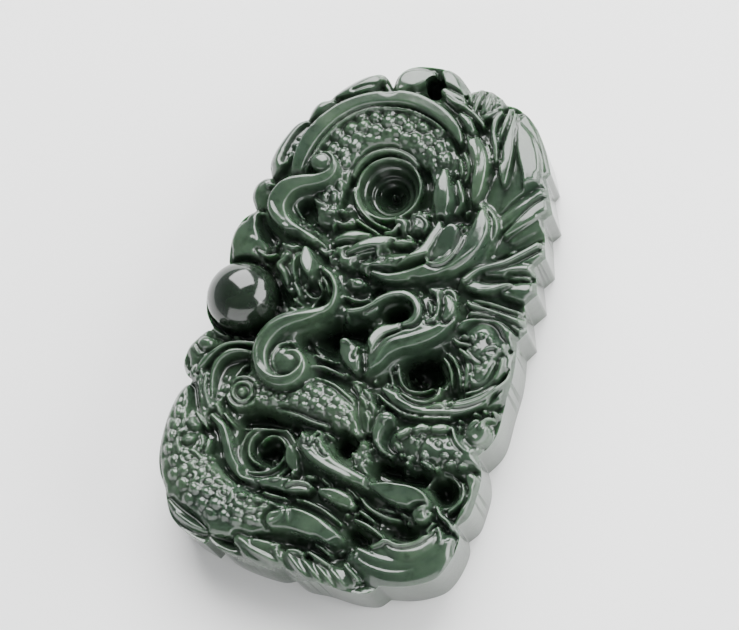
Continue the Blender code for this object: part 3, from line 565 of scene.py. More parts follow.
def left_upper():
    """Whisker, leaves and the small figure between the rim and the ball."""
    # leaf behind the whisker, and the round leaf over the ball
    strand([(-13.0, 11.2), (-13.0, 12.4), (-12.4, 13.5)], [.9, 1.2, .8], [8.4, 8.5, 8.5], h=.5, kind="soft", moat=.15)
    bead(-12.0, 13.35, .55, 8.9, ry=.3, turn=15, h=.4, moat=.1)
    strand([(-12.9, 5.6), (-12.9, 7.4), (-12.6, 9.0)], [1.9, 2.2, 1.4], [8.5, 8.6, 8.6], h=.5, kind="soft", moat=.15)
    ridge([(-14.6, 4.6), (-15.0, 6.4), (-14.8, 8.4), (-14.0, 9.8), (-12.7, 10.4)], .3, [.1, .25, .25, .15], z=8.3)
    dome(-13.0, 7.2, .3, .15)
    dome(-12.4, 7.0, .22, .2, ry=.4)
    strand([(-11.9, 9.2), (-11.2, 8.2), (-10.5, 7.2), (-10.2, 6.4)], [.5, .9, 1.0, .6], [6.9, 6.3, 6.2, 6.6], h=-1.2, kind="soft", moat=0)
    strand([(-12.0, 5.9), (-10.9, 5.45), (-9.8, 5.8)], [.18, .26, .18], 8.6, h=.6, moat=.25)
    bead(-10.15, 6.6, .3, 7.6, h=.4, moat=.1)
    strand([(-13.1, 4.75), (-12.0, 4.85), (-10.8, 4.6)], [.2, .26, .2], 8.5, h=.5, moat=.2)
    # the hollow inside the whisker
    strand([(-8.3, 12.7), (-7.6, 11.2), (-6.6, 10.0)], [.9, 1.2, .8], [6.4, 6.2, 6.6], h=-.6, kind="soft", moat=0)
    strand([(-9.2, 12.9), (-9.0, 11.9), (-8.5, 10.9), (-7.9, 10.2)], [.15, .2, .2, .14], [8.4, 8.3, 8.1, 8.0], h=.5, moat=.2)
    bead(-7.65, 9.65, .34, 8.2, ry=.24, turn=20, h=.4, moat=.15)
    bead(-6.95, 9.45, .3, 8.4, ry=.24, h=.4, moat=.15)
    bead(-6.0, 8.75, .5, 8.9, ry=.22, turn=-35, h=.5, moat=.15)
    strand([(-6.9, 12.4), (-6.4, 12.05), (-5.7, 11.85)], [.2, .24, .2], 9.0, h=.5, moat=.2)
    # whisker
    strand([(-7.4, 17.75), (-6.4, 17.6), (-5.75, 16.9), (-5.55, 16.0), (-6.1, 15.1), (-7.2, 14.55), (-8.6, 14.2), (-10.0, 13.5), (-10.85, 12.1), (-10.7, 10.7),
            (-9.7, 9.5), (-8.1, 8.65), (-6.3, 8.0), (-4.4, 7.0)],
           [.15, .32, .5, .62, .72, .8, .9, 1.1, 1.2, 1.1, .85, .65, .5, .22],
           [10.1, 10.3, 10.4, 10.4, 10.4, 10.3, 10.3, 10.3, 10.2, 10.1, 9.9, 9.8, 9.7, 9.5], h=1.3, kind="flat", moat=.4)
    bead(-7.05, 16.6, 1.25, 10.35, ry=1.12, h=.8, moat=0)
    ridge([(-11.75, 13.2), (-12.0, 12.0), (-11.7, 10.7), (-10.8, 9.6), (-9.4, 8.8)], .22, [.1, .2, .2, .2, .1], z=10.0)
    ridge([(-11.5, 11.2), (-11.1, 10.5), (-10.4, 9.8), (-9.9, 9.4)], .22, [.1, .25, .1], z=9.9)
    groove([(-9.8, 11.3), (-9.6, 10.6), (-9.1, 10.2)], .25, [.15, .3, .15], z=9.9)
    strand([(-5.3, 7.0), (-4.5, 6.6), (-3.95, 7.0)], [.2, .28, .22], 9.0, h=.5, moat=.2)
    bead(-4.05, 7.7, .28, 9.0, ry=.2, turn=-40, h=.4, moat=.15)
    bead(-3.4, 6.0, .24, 8.7, h=.4, moat=.15)
    bead(-3.2, 5.2, .2, 8.6, h=.4, moat=.15)


def small_figure():
    """The small ruffled head beside the ball."""
    strand([(-8.4, 6.6), (-8.6, 5.2), (-8.2, 3.8), (-7.4, 2.4)], [1.0, 1.1, 1.1, .8], [9.0, 9.2, 9.2, 9.0], h=1.0, kind="soft", moat=.3)
    strand([(-9.3, 7.0), (-8.6, 6.3), (-8.9, 5.4), (-9.4, 4.7), (-8.7, 4.0), (-8.3, 3.2), (-8.0, 2.7)],
           [.3, .4, .36, .42, .4, .36, .25], [9.2, 9.4, 9.4, 9.3, 9.3, 9.2, 9.0], h=.8, moat=.35)
    strand([(-8.9, 6.9), (-8.2, 6.7), (-7.6, 7.0)], [.25, .35, .2], 9.3, h=.6, moat=.2)
    strand([(-7.3, 2.9), (-6.8, 2.2), (-6.5, 1.6)], [.3, .4, .25], 9.2, h=.7, moat=.3)
    strand([(-7.5, 6.5), (-7.8, 5.4), (-7.7, 4.4), (-7.3, 3.4)], [.2, .26, .26, .2], 9.8, h=.8, moat=.4)
    strand([(-6.6, 6.3), (-6.0, 4.9), (-5.6, 3.9)], [.7, .9, .6], [9.7, 9.9, 9.7], h=1.0, moat=.3)
    strand([(-6.8, 6.75), (-6.5, 5.6), (-6.15, 4.5)], [.45, .82, .45], [10.0, 10.35, 10.7], h=.8, kind="flat", moat=.25, face=(-.08, .34))


def ball():
    """The pearl, a true sphere half sunk in the ground."""
    cx, cy = BALL_AT[0] - CENTRE[0], BALL_AT[1] - CENTRE[1]
    sl, X, Y = window(cx - 5, cx + 5, cy - 5, cy + 5)
    r = np.hypot(X - cx, Y - cy)
    cap = BALL_TOP - BALL_R + np.sqrt(np.maximum(BALL_R ** 2 - r * r, 0))
    z = Z[sl]
    # a gap all round sets the ball off from its neighbours
    z = np.where((r >= BALL_R * .985) & (r < BALL_R + .5), np.minimum(z, 6.2 + 3.2 * (r - BALL_R * .985)), z)
    Z[sl] = np.where(r < BALL_R * .985, cap, z)


def mane_fins():
    """Ridges of the mane that run out to the right and end as the saw teeth."""
    # the flat dark ground they rise from
    strand([(13.4, 9.4), (15.5, 11.0), (17.6, 12.6)], [1.0, 1.4, 1.4], [7.7, 7.9, 8.0], h=.4, kind="soft", moat=0)
    strand([(13.4, 11.9), (15.2, 13.9), (17.1, 15.9)], [.9, 1.1, 1.0], [8.2, 8.6, 8.7], h=.6, kind="soft", moat=.2)
    ridge([(13.3, 11.5), (14.1, 12.1), (15.3, 13.4), (17.0, 15.6)], .22, [.2, .35, .3, .2], z=8.8)
    strand([(14.3, 11.2), (15.6, 12.7), (17.0, 14.2), (17.9, 15.0)], [.3, .55, .8, .8], [8.9, 9.0, 8.9, 8.7],
           h=.7, kind="bevel", moat=.3)
    strand([(15.2, 10.6), (16.6, 12.2), (17.9, 13.7)], [.5, .8, .9], [8.3, 8.4, 8.4], h=.4, kind="soft", mode="max", moat=0)
    bead(13.35, 8.45, .3, 7.9, h=.3, moat=.1)
    bead(15.3, 9.3, .5, 8.3, ry=.18, turn=30, h=.4, moat=.1)
    # the long forked ridge
    strand([(12.6, 6.5), (14.6, 7.2), (16.6, 7.5), (17.9, 7.4)], [.5, .8, .9, .8], [6.9, 7.1, 7.3, 7.4], h=.4, kind="soft", moat=0)
    strand([(15.4, 8.3), (17.0, 9.2), (18.3, 9.9)], [.6, 1.1, 1.0], [8.4, 8.7, 8.6], h=.6, kind="soft", moat=.1)
    strand([(10.2, 5.4), (11.2, 6.3), (12.1, 7.1), (13.4, 7.6), (14.9, 8.3), (16.4, 9.3), (17.7, 10.4)],
           [.2, .42, .36, .32, .34, .36, .42], [9.2, 9.4, 9.4, 9.3, 9.2, 9.1, 8.9], h=.9, kind="flat", moat=.25, face=(-.02, .3))
    strand([(15.4, 5.2), (17.0, 5.4), (18.2, 5.5)], [.8, 1.1, 1.1], [8.7, 8.8, 8.7], h=.7, kind="soft", moat=.1)
    strand([(10.6, 5.4), (11.6, 5.3), (12.9, 5.2), (14.3, 5.5), (15.6, 6.0)], [.35, .65, .6, .42, .2],
           [9.2, 9.3, 9.4, 9.45, 9.4], h=.8, kind="flat", moat=.35, face=(-.08, .3))
    strand([(12.2, 6.3), (13.4, 6.2), (14.8, 6.4)], [.15, .22, .14], 8.1, h=.4, moat=.15)
    strand([(13.0, 6.8), (14.8, 7.2), (16.6, 7.6), (17.9, 7.8)], [.4, .7, .75, .6], [8.6, 8.8, 8.8, 8.7], h=.4, kind="soft", moat=.1)
    strand([(10.1, 5.2), (10.8, 5.9), (11.6, 6.75), (12.6, 7.4), (14.5, 8.2), (16.1, 9.3), (17.8, 10.6)],
           [.2, .42, .4, .36, .36, .38, .42], [9.75, 9.65, 9.5, 9.35, 9.1, 8.9, 8.7], h=.8, kind="flat", moat=.25, face=(-.05, .3))
    strand([(15.6, 6.55), (16.6, 6.7), (17.5, 6.8)], [.15, .22, .2], 8.3, h=.5, moat=.2)
    ridge([(12.0, 4.2), (13.6, 4.6), (15.4, 4.65), (17.4, 4.2), (18.3, 3.8)], .35, [.1, .25, .3, .3], z=8.6)
    # lower pair of ridges and the broad band under them
    strand([(12.4, 2.0), (14.6, 2.2), (16.6, 1.7), (17.8, .9)], [.7, 1.2, 1.2, .9], [8.7, 8.9, 8.8, 8.5], h=.8, kind="flat", moat=.2)
    strand([(11.4, 3.5), (12.6, 3.6), (14.2, 3.5), (15.8, 3.2), (17.2, 3.0)], [.25, .3, .26, .24, .2],
           [9.1, 9.1, 9.0, 8.9, 8.7], h=.7, moat=.3)
    strand([(11.5, 3.4), (12.0, 3.1), (13.2, 2.95), (15.0, 2.6), (16.6, 2.2), (17.7, 1.9)], [.25, .32, .26, .24, .36, .4],
           [9.1, 9.1, 9.0, 8.9, 8.9, 8.7], h=.7, moat=.3)


def right_middle():
    """Scaled side, stepped hollow and bands in the middle of the right half."""
    strand([(10.9, .7), (12.6, 1.1), (14.8, .9), (16.6, 0.0), (17.4, -1.0)], [.5, .8, .95, .8, .4], [9.0, 9.2, 9.2, 9.0, 8.7],
           h=1.0, kind="flat", moat=.5)
    # outer band along the side wall
    strand([(17.3, -1.6), (17.6, -3.2), (17.3, -5.0), (16.3, -6.4), (15.0, -7.4)], [.4, .65, .75, .7, .5],
           [8.6, 8.8, 8.8, 8.7, 8.6], h=.6, kind="soft", moat=.15)
    ridge([(17.0, -.6), (17.5, -1.8), (17.6, -3.4), (17.2, -5.0), (16.2, -6.4)], .22, [.2, .3, .3, .2], z=8.8)
    # the scaled side
    strand([(13.6, -.4), (14.3, -2.4), (13.9, -4.4)], [1.9, 2.6, 1.6], [9.1, 9.5, 9.3], h=1.0, kind="soft", moat=.35)
    for x, y, r, ry, a in ((11.7, -.35, .5, .3, 0), (12.55, -.45, .3, .5, 0), (13.5, .1, .35, .25, 0), (14.5, -.25, .3, .5, 30),
                           (13.0, -1.35, .35, .3, 0), (12.3, -1.5, .3, .25, 0), (14.2, -2.4, .3, .3, 0), (14.8, -2.3, .25, .3, 0),
                           (13.7, -3.55, .5, .42, 0), (14.5, -3.8, .3, .3, 0), (16.1, -.9, .36, .62, 10), (13.4, -2.6, .3, .5, -30)):
        bead(x, y, r, 9.75, ry=ry, turn=a, h=.45, moat=.2)
    strand([(10.7, -.7), (11.3, -1.1), (12.4, -1.2)], [.22, .28, .22], 9.3, h=.6, moat=.3)
    strand([(11.5, -1.75), (12.1, -2.1), (12.9, -2.6), (13.8, -3.0)], [.2, .28, .24, .16], 9.5, h=.5, moat=.25)
    strand([(14.0, -1.8), (14.5, -1.2), (15.2, -1.0), (15.6, -1.5), (15.2, -2.1), (14.4, -1.9)], [.2, .22, .22, .22, .22, .18],
           9.7, h=.4, moat=.2)
    strand([(12.7, -3.3), (12.75, -4.4), (12.8, -5.6)], [.3, .45, .3], [9.5, 9.5, 9.2], h=.8, moat=.3)
    strand([(15.5, -2.6), (15.2, -3.6), (14.8, -4.6), (14.2, -5.2), (13.4, -5.0), (13.2, -4.2)], [.18, .24, .24, .26, .2, .15],
           9.5, h=.5, moat=.25)
    strand([(16.2, -2.2), (16.1, -3.4), (15.6, -4.8), (14.6, -5.9), (13.0, -6.4)], [.35, .42, .4, .4, .25], [9.2, 9.2, 9.1, 9.0, 8.9],
           h=.6, kind="soft", moat=.25)
    # hollow with its rings
    pit(8.0, -4.8, [(0, 4.6), (1.7, 4.7), (2.1, 4.9), (2.3, 5.9), (2.55, 6.1), (2.75, 6.9), (3.0, 7.1), (3.25, 7.6), (3.4, 8.2)], z=7.8)
    strand([(10.0, -2.9), (10.7, -3.6), (11.2, -4.6), (11.4, -5.7)], [.16, .26, .24, .15], 8.8, h=.7, moat=.3)
    strand([(10.4, -2.4), (11.1, -2.9), (11.7, -3.8), (12.1, -4.7), (12.3, -5.6)], [.16, .24, .2, .24, .16], 9.1, h=.6, moat=.25)
    strand([(5.5, -4.7), (5.75, -5.6), (6.3, -6.5), (7.2, -7.0), (8.5, -6.95), (9.6, -6.4)], [.25, .26, .2, .2, .2, .15],
           [7.9, 7.8, 7.7, 7.6, 7.5, 7.4], h=.6, moat=.25)
    # side band sweeping round under the hollow
    strand([(15.9, -5.4), (14.6, -6.8), (12.6, -7.9), (10.4, -8.4), (8.2, -8.6), (6.2, -8.1), (4.4, -7.1)],
           [.4, .75, .9, .85, .8, .75, .4], [9.0, 9.2, 9.2, 9.1, 9.1, 9.0, 8.8], h=.9, kind="flat", moat=.3)
    strand([(17.5, -2.0), (17.3, -3.5), (16.4, -5.0), (15.4, -6.1), (14.2, -7.0), (12.6, -7.7), (10.8, -8.0), (9.0, -8.35)],
           [.15, .22, .24, .24, .3, .3, .25, .18], 9.35, h=.5, moat=.15)
    strand([(6.3, -7.3), (7.4, -7.8), (8.6, -7.95), (9.6, -7.6), (10.15, -6.9), (10.2, -6.1)], [.18, .24, .22, .22, .22, .15],
           9.0, h=.6, moat=.25)
    strand([(3.9, -7.8), (5.0, -8.6), (6.6, -9.35), (8.4, -9.6), (10.2, -9.45), (11.8, -9.2)], [.18, .24, .2, .18, .18, .15],
           9.1, h=.5, moat=.2)
    ridge([(5.9, -8.0), (6.8, -8.3), (7.6, -8.4)], .2, [.1, .2, .1], z=9.2)
    strand([(11.4, -7.9), (11.7, -7.4)], [.2, .15], 8.9, h=.4, moat=.15)
    for x, y, r, ry, a in ((4.65, -6.6, .3, .24, -45), (5.5, -6.85, .36, .22, -20), (3.2, -6.5, .2, .2, 0), (5.1, -5.1, .15, .15, 0)):
        bead(x, y, r, 8.5, ry=ry, turn=a, h=.4, moat=.15)
    bead(7.6, -5.8, .2, 5.1, ry=.3, h=.2, moat=0)
    bead(8.4, -5.9, .26, 5.1, ry=.16, h=.2, moat=0)


def middle():
    """Snout, jaws and tongue in the middle, and the spiral whisker."""
    # dark open mouth
    pit(-1.2, -2.4, [(0, 4.6), (1.5, 4.7), (2.2, 5.3), (3.0, 6.6), (3.4, 7.2)], z=7.5, squash=.75)
    pit(4.1, 1.3, [(0, 5.0), (1.0, 5.1), (1.5, 6.0), (2.0, 7.6)], z=7.6, squash=.75, turn=20)
    bead(-.7, 3.75, 1.2, 9.0, ry=.7, turn=0, h=.8, moat=.4)
    bead(-1.2, 4.0, .4, 9.3, ry=.25, turn=-15, h=.3, moat=.1)
    bead(.2, 3.8, .3, 9.2, ry=.24, h=.3, moat=.1)
    strand([(-2.3, 4.4), (-2.3, 3.6)], [.18, .18], 8.6, h=.4, moat=.15)
    bead(6.4, 3.7, .4, 8.6, ry=.2, turn=-50, h=.4, moat=.15)
    # body of the lower jaw
    strand([(9.4, 3.8), (9.2, 2.2), (8.2, .5), (6.4, -.8), (4.8, -1.5), (3.4, -2.6), (2.5, -4.0), (1.7, -4.8)],
           [.9, 1.4, 1.55, 1.45, 1.4, 1.3, 1.2, 1.0], [9.4, 9.9, 10.1, 10.15, 10.1, 10.0, 9.9, 9.8], h=2.0, kind="flatter", moat=.35)
    ridge([(10.0, 1.0), (8.2, -.3), (6.2, -1.35), (4.6, -2.0), (3.6, -2.9), (3.1, -4.2), (2.6, -5.2), (1.7, -5.75), (.8, -5.5)],
          .22, [.1, .22, .22, .22, .1], z=9.8)
    # curls at the corner of the jaw
    strand([(7.4, 4.2), (8.2, 4.0), (8.65, 3.2), (8.6, 2.2), (8.2, 1.2), (7.5, .7)], [.3, .5, .55, .5, .36, .18],
           [10.2, 10.3, 10.35, 10.4, 10.4, 10.3], h=.8, kind="flat", moat=.3, face=(.05, .34))
    strand([(7.3, 3.0), (7.7, 2.3), (7.8, 1.7)], [.2, .3, .2], 10.1, h=.6, moat=.3)
    strand([(9.2, 3.6), (9.6, 3.0), (9.7, 2.2), (9.4, 1.4)], [.3, .55, .6, .4], [9.9, 9.95, 10.0, 10.0], h=.8, kind="flat", moat=.3, face=(.05, .34))
    # broad slanting upper face of the jaw: a smooth facet turned to the top left
    strand([(5.9, .75), (5.2, .1), (4.2, -.4), (3.1, -.85), (2.4, -1.6), (1.95, -2.7), (1.6, -3.7)],
           [.3, .42, .58, .72, .7, .55, .25], [10.3, 10.15, 10.0, 10.0, 10.3, 10.7, 10.95],
           h=1.6, kind="flat", moat=.1, slope=9, face=(-.02, .36))
    # snout lip, hooking over the nostril
    strand([(-1.8, .5), (-.8, .25), (.5, .45), (1.7, 1.2), (2.3, 1.7)], [.3, .6, .65, .5, .25], [9.5, 9.7, 9.8, 9.8, 9.8],
           h=1.3, kind="soft", moat=.2)
    pit(3.9, 1.2, [(0, 5.0), (1.0, 5.1), (1.45, 6.0), (1.75, 8.4)], z=9.6, squash=.72, turn=12)
    strand([(-1.9, .8), (-.8, .75), (.4, 1.15), (1.4, 1.85), (2.3, 2.6), (3.4, 3.2), (4.6, 3.4), (5.6, 3.05), (6.2, 2.3),
            (6.3, 1.4), (5.9, .6), (5.1, .1)],
           [.2, .36, .36, .38, .4, .42, .46, .5, .52, .5, .45, .3],
           [9.8, 10.1, 10.2, 10.2, 10.2, 10.25, 10.3, 10.35, 10.45, 10.5, 10.5, 10.4], h=1.2, kind="flat", moat=.12, face=(-.03, .34))
    strand([(-1.6, 2.3), (-.8, 2.0), (.2, 1.9), (1.0, 2.3)], [.15, .24, .22, .15], 9.0, h=.5, moat=.25)
    strand([(-1.8, 2.2), (-2.1, 1.4)], [.2, .25], 9.0, h=.5, moat=.2)
    # teeth-like bead, tongue and the small leaf over the mouth
    bead(-1.95, -1.1, .75, 6.4, ry=.5, turn=-10, h=.5, moat=.1)
    bead(1.15, -1.65, .22, 6.0, h=.3, moat=.1)
    bead(-3.75, -3.5, .22, 6.4, h=.3, moat=.1)
    strand([(-.7, -2.8), (-.2, -3.5), (.5, -4.5), (1.0, -5.3)], [.7, 1.1, 1.0, .6], [9.2, 9.3, 9.4, 9.4], h=1.4, kind="bevel", moat=.3)
    strand([(-1.1, -2.6), (-.6, -2.5), (-.2, -2.8)], [.2, .28, .2], 9.5, h=.4, moat=0)
    ridge([(-1.45, -2.6), (-1.3, -3.6), (-.7, -4.4), (.2, -5.2)], .18, [.1, .2, .1], z=9.2)
    strand([(.8, -3.1), (.55, -3.8), (.5, -4.3)], [.22, .22, .12], 9.6, h=.4, moat=.15)
    # ledges below the mouth
    strand([(-3.6, -4.6), (-2.8, -4.85), (-1.2, -5.1)], [.2, .2, .16], 8.1, h=.5, moat=.2)
    strand([(-3.8, -5.9), (-2.6, -5.75), (-1.4, -6.0), (0.0, -6.4)], [.2, .28, .24, .14], 8.6, h=.6, moat=.3)
    bead(.15, -6.2, .28, 8.7, h=.4, moat=.15)


def spiral():
    """The cup of small beads and the whisker that sweeps round it into a spiral."""
    strand([(-5.0, 3.4), (-4.9, 2.2), (-5.3, 1.0)], [1.3, 1.5, 1.0], [7.8, 7.3, 7.5], h=-.8, kind="soft", moat=0)
    for x, y, r in ((-6.2, 1.45, .32), (-5.5, 1.75, .42), (-5.2, .15, .26), (-4.5, .2, .2), (-6.05, 2.6, .3)):
        bead(x, y, r, 8.6, h=.4, moat=.15)
    strand([(-6.0, 2.2), (-5.2, 1.5), (-4.3, 1.6), (-4.1, 2.4)], [.14, .2, .2, .14], 8.4, h=.4, moat=.15)
    strand([(-7.0, 2.4), (-7.0, 1.2), (-6.3, .6), (-5.4, .1)], [.2, .3, .3, .2], [9.2, 9.3, 9.3, 9.2], h=.9, moat=.3)
    strand([(-7.6, 0.0), (-7.7, -.8)], [.15, .15], 7.2, h=.4, moat=.1)
    strand([(-7.2, .1), (-6.4, -.1), (-5.6, .1)], [.3, .4, .3], 8.6, h=.5, kind="soft", moat=.1)
    strand([(-5.1, 4.1), (-4.6, 3.2), (-4.1, 2.5)], [.16, .22, .14], 9.5, h=.5, moat=.2)
    strand([(-4.4, 4.0), (-3.8, 3.3), (-3.4, 2.4)], [.2, .28, .2], 9.9, h=.5, moat=.25)
    # tube of the whisker: from the small head down, round and inwards
    strand([(-5.4, 5.5), (-4.6, 4.9), (-3.6, 4.3), (-2.95, 3.3), (-2.75, 2.1), (-3.1, .9), (-4.3, .1), (-5.8, -.5),
            (-7.3, -1.1), (-8.6, -2.1), (-9.5, -3.7), (-9.6, -5.4), (-8.8, -7.0), (-7.3, -7.8), (-5.8, -7.5), (-4.9, -6.4),
            (-4.9, -5.3), (-5.7, -4.5), (-6.6, -4.6)],
           [.2, .3, .34, .34, .36, .42, .6, .8, .95, 1.0, 1.0, .95, .85, .8, .75, .65, .5, .42, .22],
           [9.8, 10.2, 10.4, 10.4, 10.3, 10.3, 10.4, 10.6, 10.7, 10.7, 10.7, 10.6, 10.5, 10.4, 10.4, 10.3, 10.2, 10.1, 10.0],
           h=1.7, kind="flat", moat=.45)
    # bright edge line that follows its outer side, and the inner one
    ridge([(-3.9, .15), (-4.9, -.2), (-6.4, -.7), (-8.0, -1.5), (-9.3, -2.8), (-9.95, -4.6), (-9.6, -6.3),
           (-8.5, -7.3), (-7.1, -7.6), (-5.9, -7.2), (-5.1, -6.3), (-4.9, -5.4)],
          .26, [.15, .25, .28, .28, .28, .25, .2], z=10.4)
    strand([(-6.9, -3.6), (-6.2, -3.55)], [.22, .2], 9.6, h=.4, moat=.2)
    bead(-6.7, -5.55, 1.6, 10.0, ry=1.5, h=.5, moat=0, mode="max")
    strand([(-6.8, -3.6), (-7.7, -4.1), (-8.15, -5.2), (-7.95, -6.2), (-7.4, -6.9)], [.16, .22, .22, .2, .14],
           [9.8, 9.95, 10.1, 10.05, 9.9], h=.45, moat=.12)
    bead(-6.85, -6.5, .18, 9.95, h=.14, moat=.05)
    bead(-6.3, -6.5, .18, 9.95, h=.14, moat=.05)


def left_middle():
    """Small lobe, arch and snail under the ball, and the scaled coil across the middle."""
    strand([(-16.2, -4.2), (-16.2, -5.6), (-16.2, -7.2)], [.9, 1.4, 1.0], [8.4, 8.6, 8.3], h=.7, kind="soft", moat=.1)
    bead(-15.6, -4.9, 1.0, 9.1, ry=.85, h=.8, moat=.25)
    dome(-15.3, -4.8, .35, .15, ry=.22, turn=-30)
    strand([(-16.9, -5.4), (-16.5, -5.9), (-16.1, -6.3)], [.15, .22, .15], 8.7, h=.4, moat=.2)
    strand([(-15.3, -3.3), (-14.6, -3.7), (-13.8, -4.0)], [.15, .22, .2], 7.4, h=.4, moat=.1)
    bead(-13.5, -3.9, .25, 7.6, h=.3, moat=.1)
    bead(-12.6, -3.8, .4, 7.6, ry=.2, h=.3, moat=.1)
    # coil across the middle with scales
    strand([(-10.8, -9.6), (-8.8, -9.6), (-6.6, -9.6), (-4.3, -9.4), (-2.2, -9.3), (-.2, -9.9), (1.4, -11.0), (2.3, -12.4)],
           [.9, 1.5, 1.8, 2.1, 2.3, 2.2, 1.8, 1.0], [8.6, 8.8, 9.1, 9.4, 9.6, 9.5, 9.3, 8.9], h=1.0, kind="soft", moat=.4)
    scales([(-8.9, -9.5), (-6.6, -9.5), (-4.3, -9.3), (-2.2, -9.2), (-.3, -9.8), (1.3, -10.9), (2.2, -12.2)],
           [1.1, 1.4, 1.8, 2.0, 1.95, 1.6, .9], 9.3, pitch=1.35, rise=.54, rows=3, flip=1)
    strand([(-3.2, -7.0), (-2.0, -7.15), (-.9, -7.5), (.1, -8.1), (1.2, -8.8), (2.1, -9.6), (2.7, -10.5), (2.95, -11.1)],
           [.14, .2, .2, .2, .2, .2, .2, .14], [9.2, 9.3, 9.4, 9.4, 9.4, 9.4, 9.3, 9.2], h=.7, moat=.3)
    strand([(-9.9, -11.9), (-8.8, -11.4), (-7.4, -11.25), (-5.8, -11.15), (-4.2, -11.3), (-2.8, -11.7), (-1.0, -12.0)],
           [.22, .24, .2, .26, .26, .28, .3], [8.6, 8.8, 8.8, 8.9, 9.0, 9.0, 9.0], h=.8, moat=.3)
    ridge([(-6.8, -11.7), (-5.0, -11.8), (-3.4, -12.1), (-1.8, -12.2)], .22, [.1, .2, .1], z=8.5)
    # tufts to the right of the coil
    strand([(2.7, -8.4), (3.2, -9.8), (3.5, -11.4)], [.9, 1.1, .8], [8.7, 8.8, 8.7], h=.6, kind="soft", moat=.1)
    for pts in ([(.9, -7.0), (1.5, -7.3), (1.8, -7.9)], [(2.3, -7.5), (2.8, -8.0), (3.1, -8.5)],
                [(2.0, -8.3), (2.6, -8.8), (3.0, -9.4)], [(3.2, -8.8), (3.6, -9.3), (3.8, -9.8)],
                [(4.5, -8.9), (4.4, -9.6), (4.2, -10.3)], [(2.9, -9.9), (3.3, -10.6), (3.5, -11.4)]):
        strand(pts, [.22, .32, .2], 9.2, h=.6, moat=.25)
    strand([(.9, -6.95), (1.4, -6.8), (2.0, -6.85)], [.15, .2, .12], 8.9, h=.4, moat=.2)
    # thin ridge and snail
    strand([(-9.7, -7.3), (-10.5, -7.9), (-11.3, -8.4), (-11.8, -8.9)], [.14, .22, .2, .15], 8.6, h=.5, moat=.2)
    pit(-10.6, -9.7, [(0, 9.2), (.35, 9.05), (.62, 8.2), (.8, 8.3), (.98, 8.9), (1.12, 8.9), (1.3, 8.2), (1.42, 8.3), (1.6, 8.8),
                      (1.75, 8.75), (1.95, 8.0)], z=8.6)
    bead(-9.3, -8.55, .45, 9.2, ry=.3, turn=-25, h=.5, moat=.25)
    bead(-8.8, -8.15, .32, 9.1, ry=.2, turn=-30, h=.4, moat=.2)
    for x, y, r in ((-7.7, -9.25, .34), (-6.35, -9.5, .42), (-8.9, -10.1, .3)):
        bead(x, y, r, 9.2, h=.45, moat=.25)
    # arch: a smooth hollow sheet between two bright ridges
    strand([(-13.6, -12.0), (-13.4, -10.0), (-13.0, -8.0), (-11.9, -6.6), (-10.6, -6.0)], [.8, 1.2, 1.6, 1.4, .9],
           [7.9, 7.9, 7.5, 7.1, 7.0], h=-.4, kind="soft", moat=0)
    strand([(-15.9, -8.2), (-15.0, -9.8), (-14.3, -11.4), (-13.4, -12.9)], [1.0, 1.2, 1.1, .7], [8.8, 8.8, 8.8, 8.8], h=.6, kind="soft", moat=.15)
    strand([(-10.8, -5.2), (-12.0, -5.25), (-13.1, -5.65), (-13.9, -6.5), (-14.2, -7.8), (-14.1, -9.3), (-13.7, -10.7), (-13.0, -12.1), (-12.4, -13.0)],
           [.2, .42, .5, .5, .42, .36, .32, .3, .2], [8.9, 9.1, 9.2, 9.2, 9.1, 9.0, 9.0, 9.0, 9.0], h=1.0, moat=.3)
    strand([(-10.1, -4.2), (-11.4, -4.25), (-12.8, -4.5), (-13.8, -5.0), (-14.9, -6.1), (-15.5, -7.0), (-15.9, -8.0)],
           [.2, .26, .26, .3, .4, .5, .3], [9.1, 9.2, 9.3, 9.3, 9.3, 9.2, 9.0], h=.9, moat=.35)
    for pts in ([(-15.5, -7.9), (-15.5, -9.2), (-15.0, -10.6), (-14.3, -11.6)], [(-14.9, -8.0), (-14.8, -9.6), (-14.3, -10.9), (-13.6, -12.2)],
                [(-15.9, -8.6), (-15.9, -10.0), (-15.5, -11.2), (-14.8, -12.0), (-14.0, -12.5)],
                [(-13.3, -10.8), (-13.0, -11.6), (-12.5, -12.7)], [(-15.3, -11.9), (-14.4, -12.7), (-13.6, -13.3)]):
        strand(pts, [.15, .26, .26, .22][:len(pts)] if len(pts) <= 4 else [.15, .26, .26, .26, .2], 9.2, h=.5, moat=.22)
    for x, y, r, ry, a in ((-12.7, -8.4, .2, .42, -20), (-12.4, -9.6, .28, .5, -15), (-13.0, -10.4, .18, .35, -20)):
        bead(x, y, r, 8.1, ry=ry, turn=a, h=.35, moat=.12)


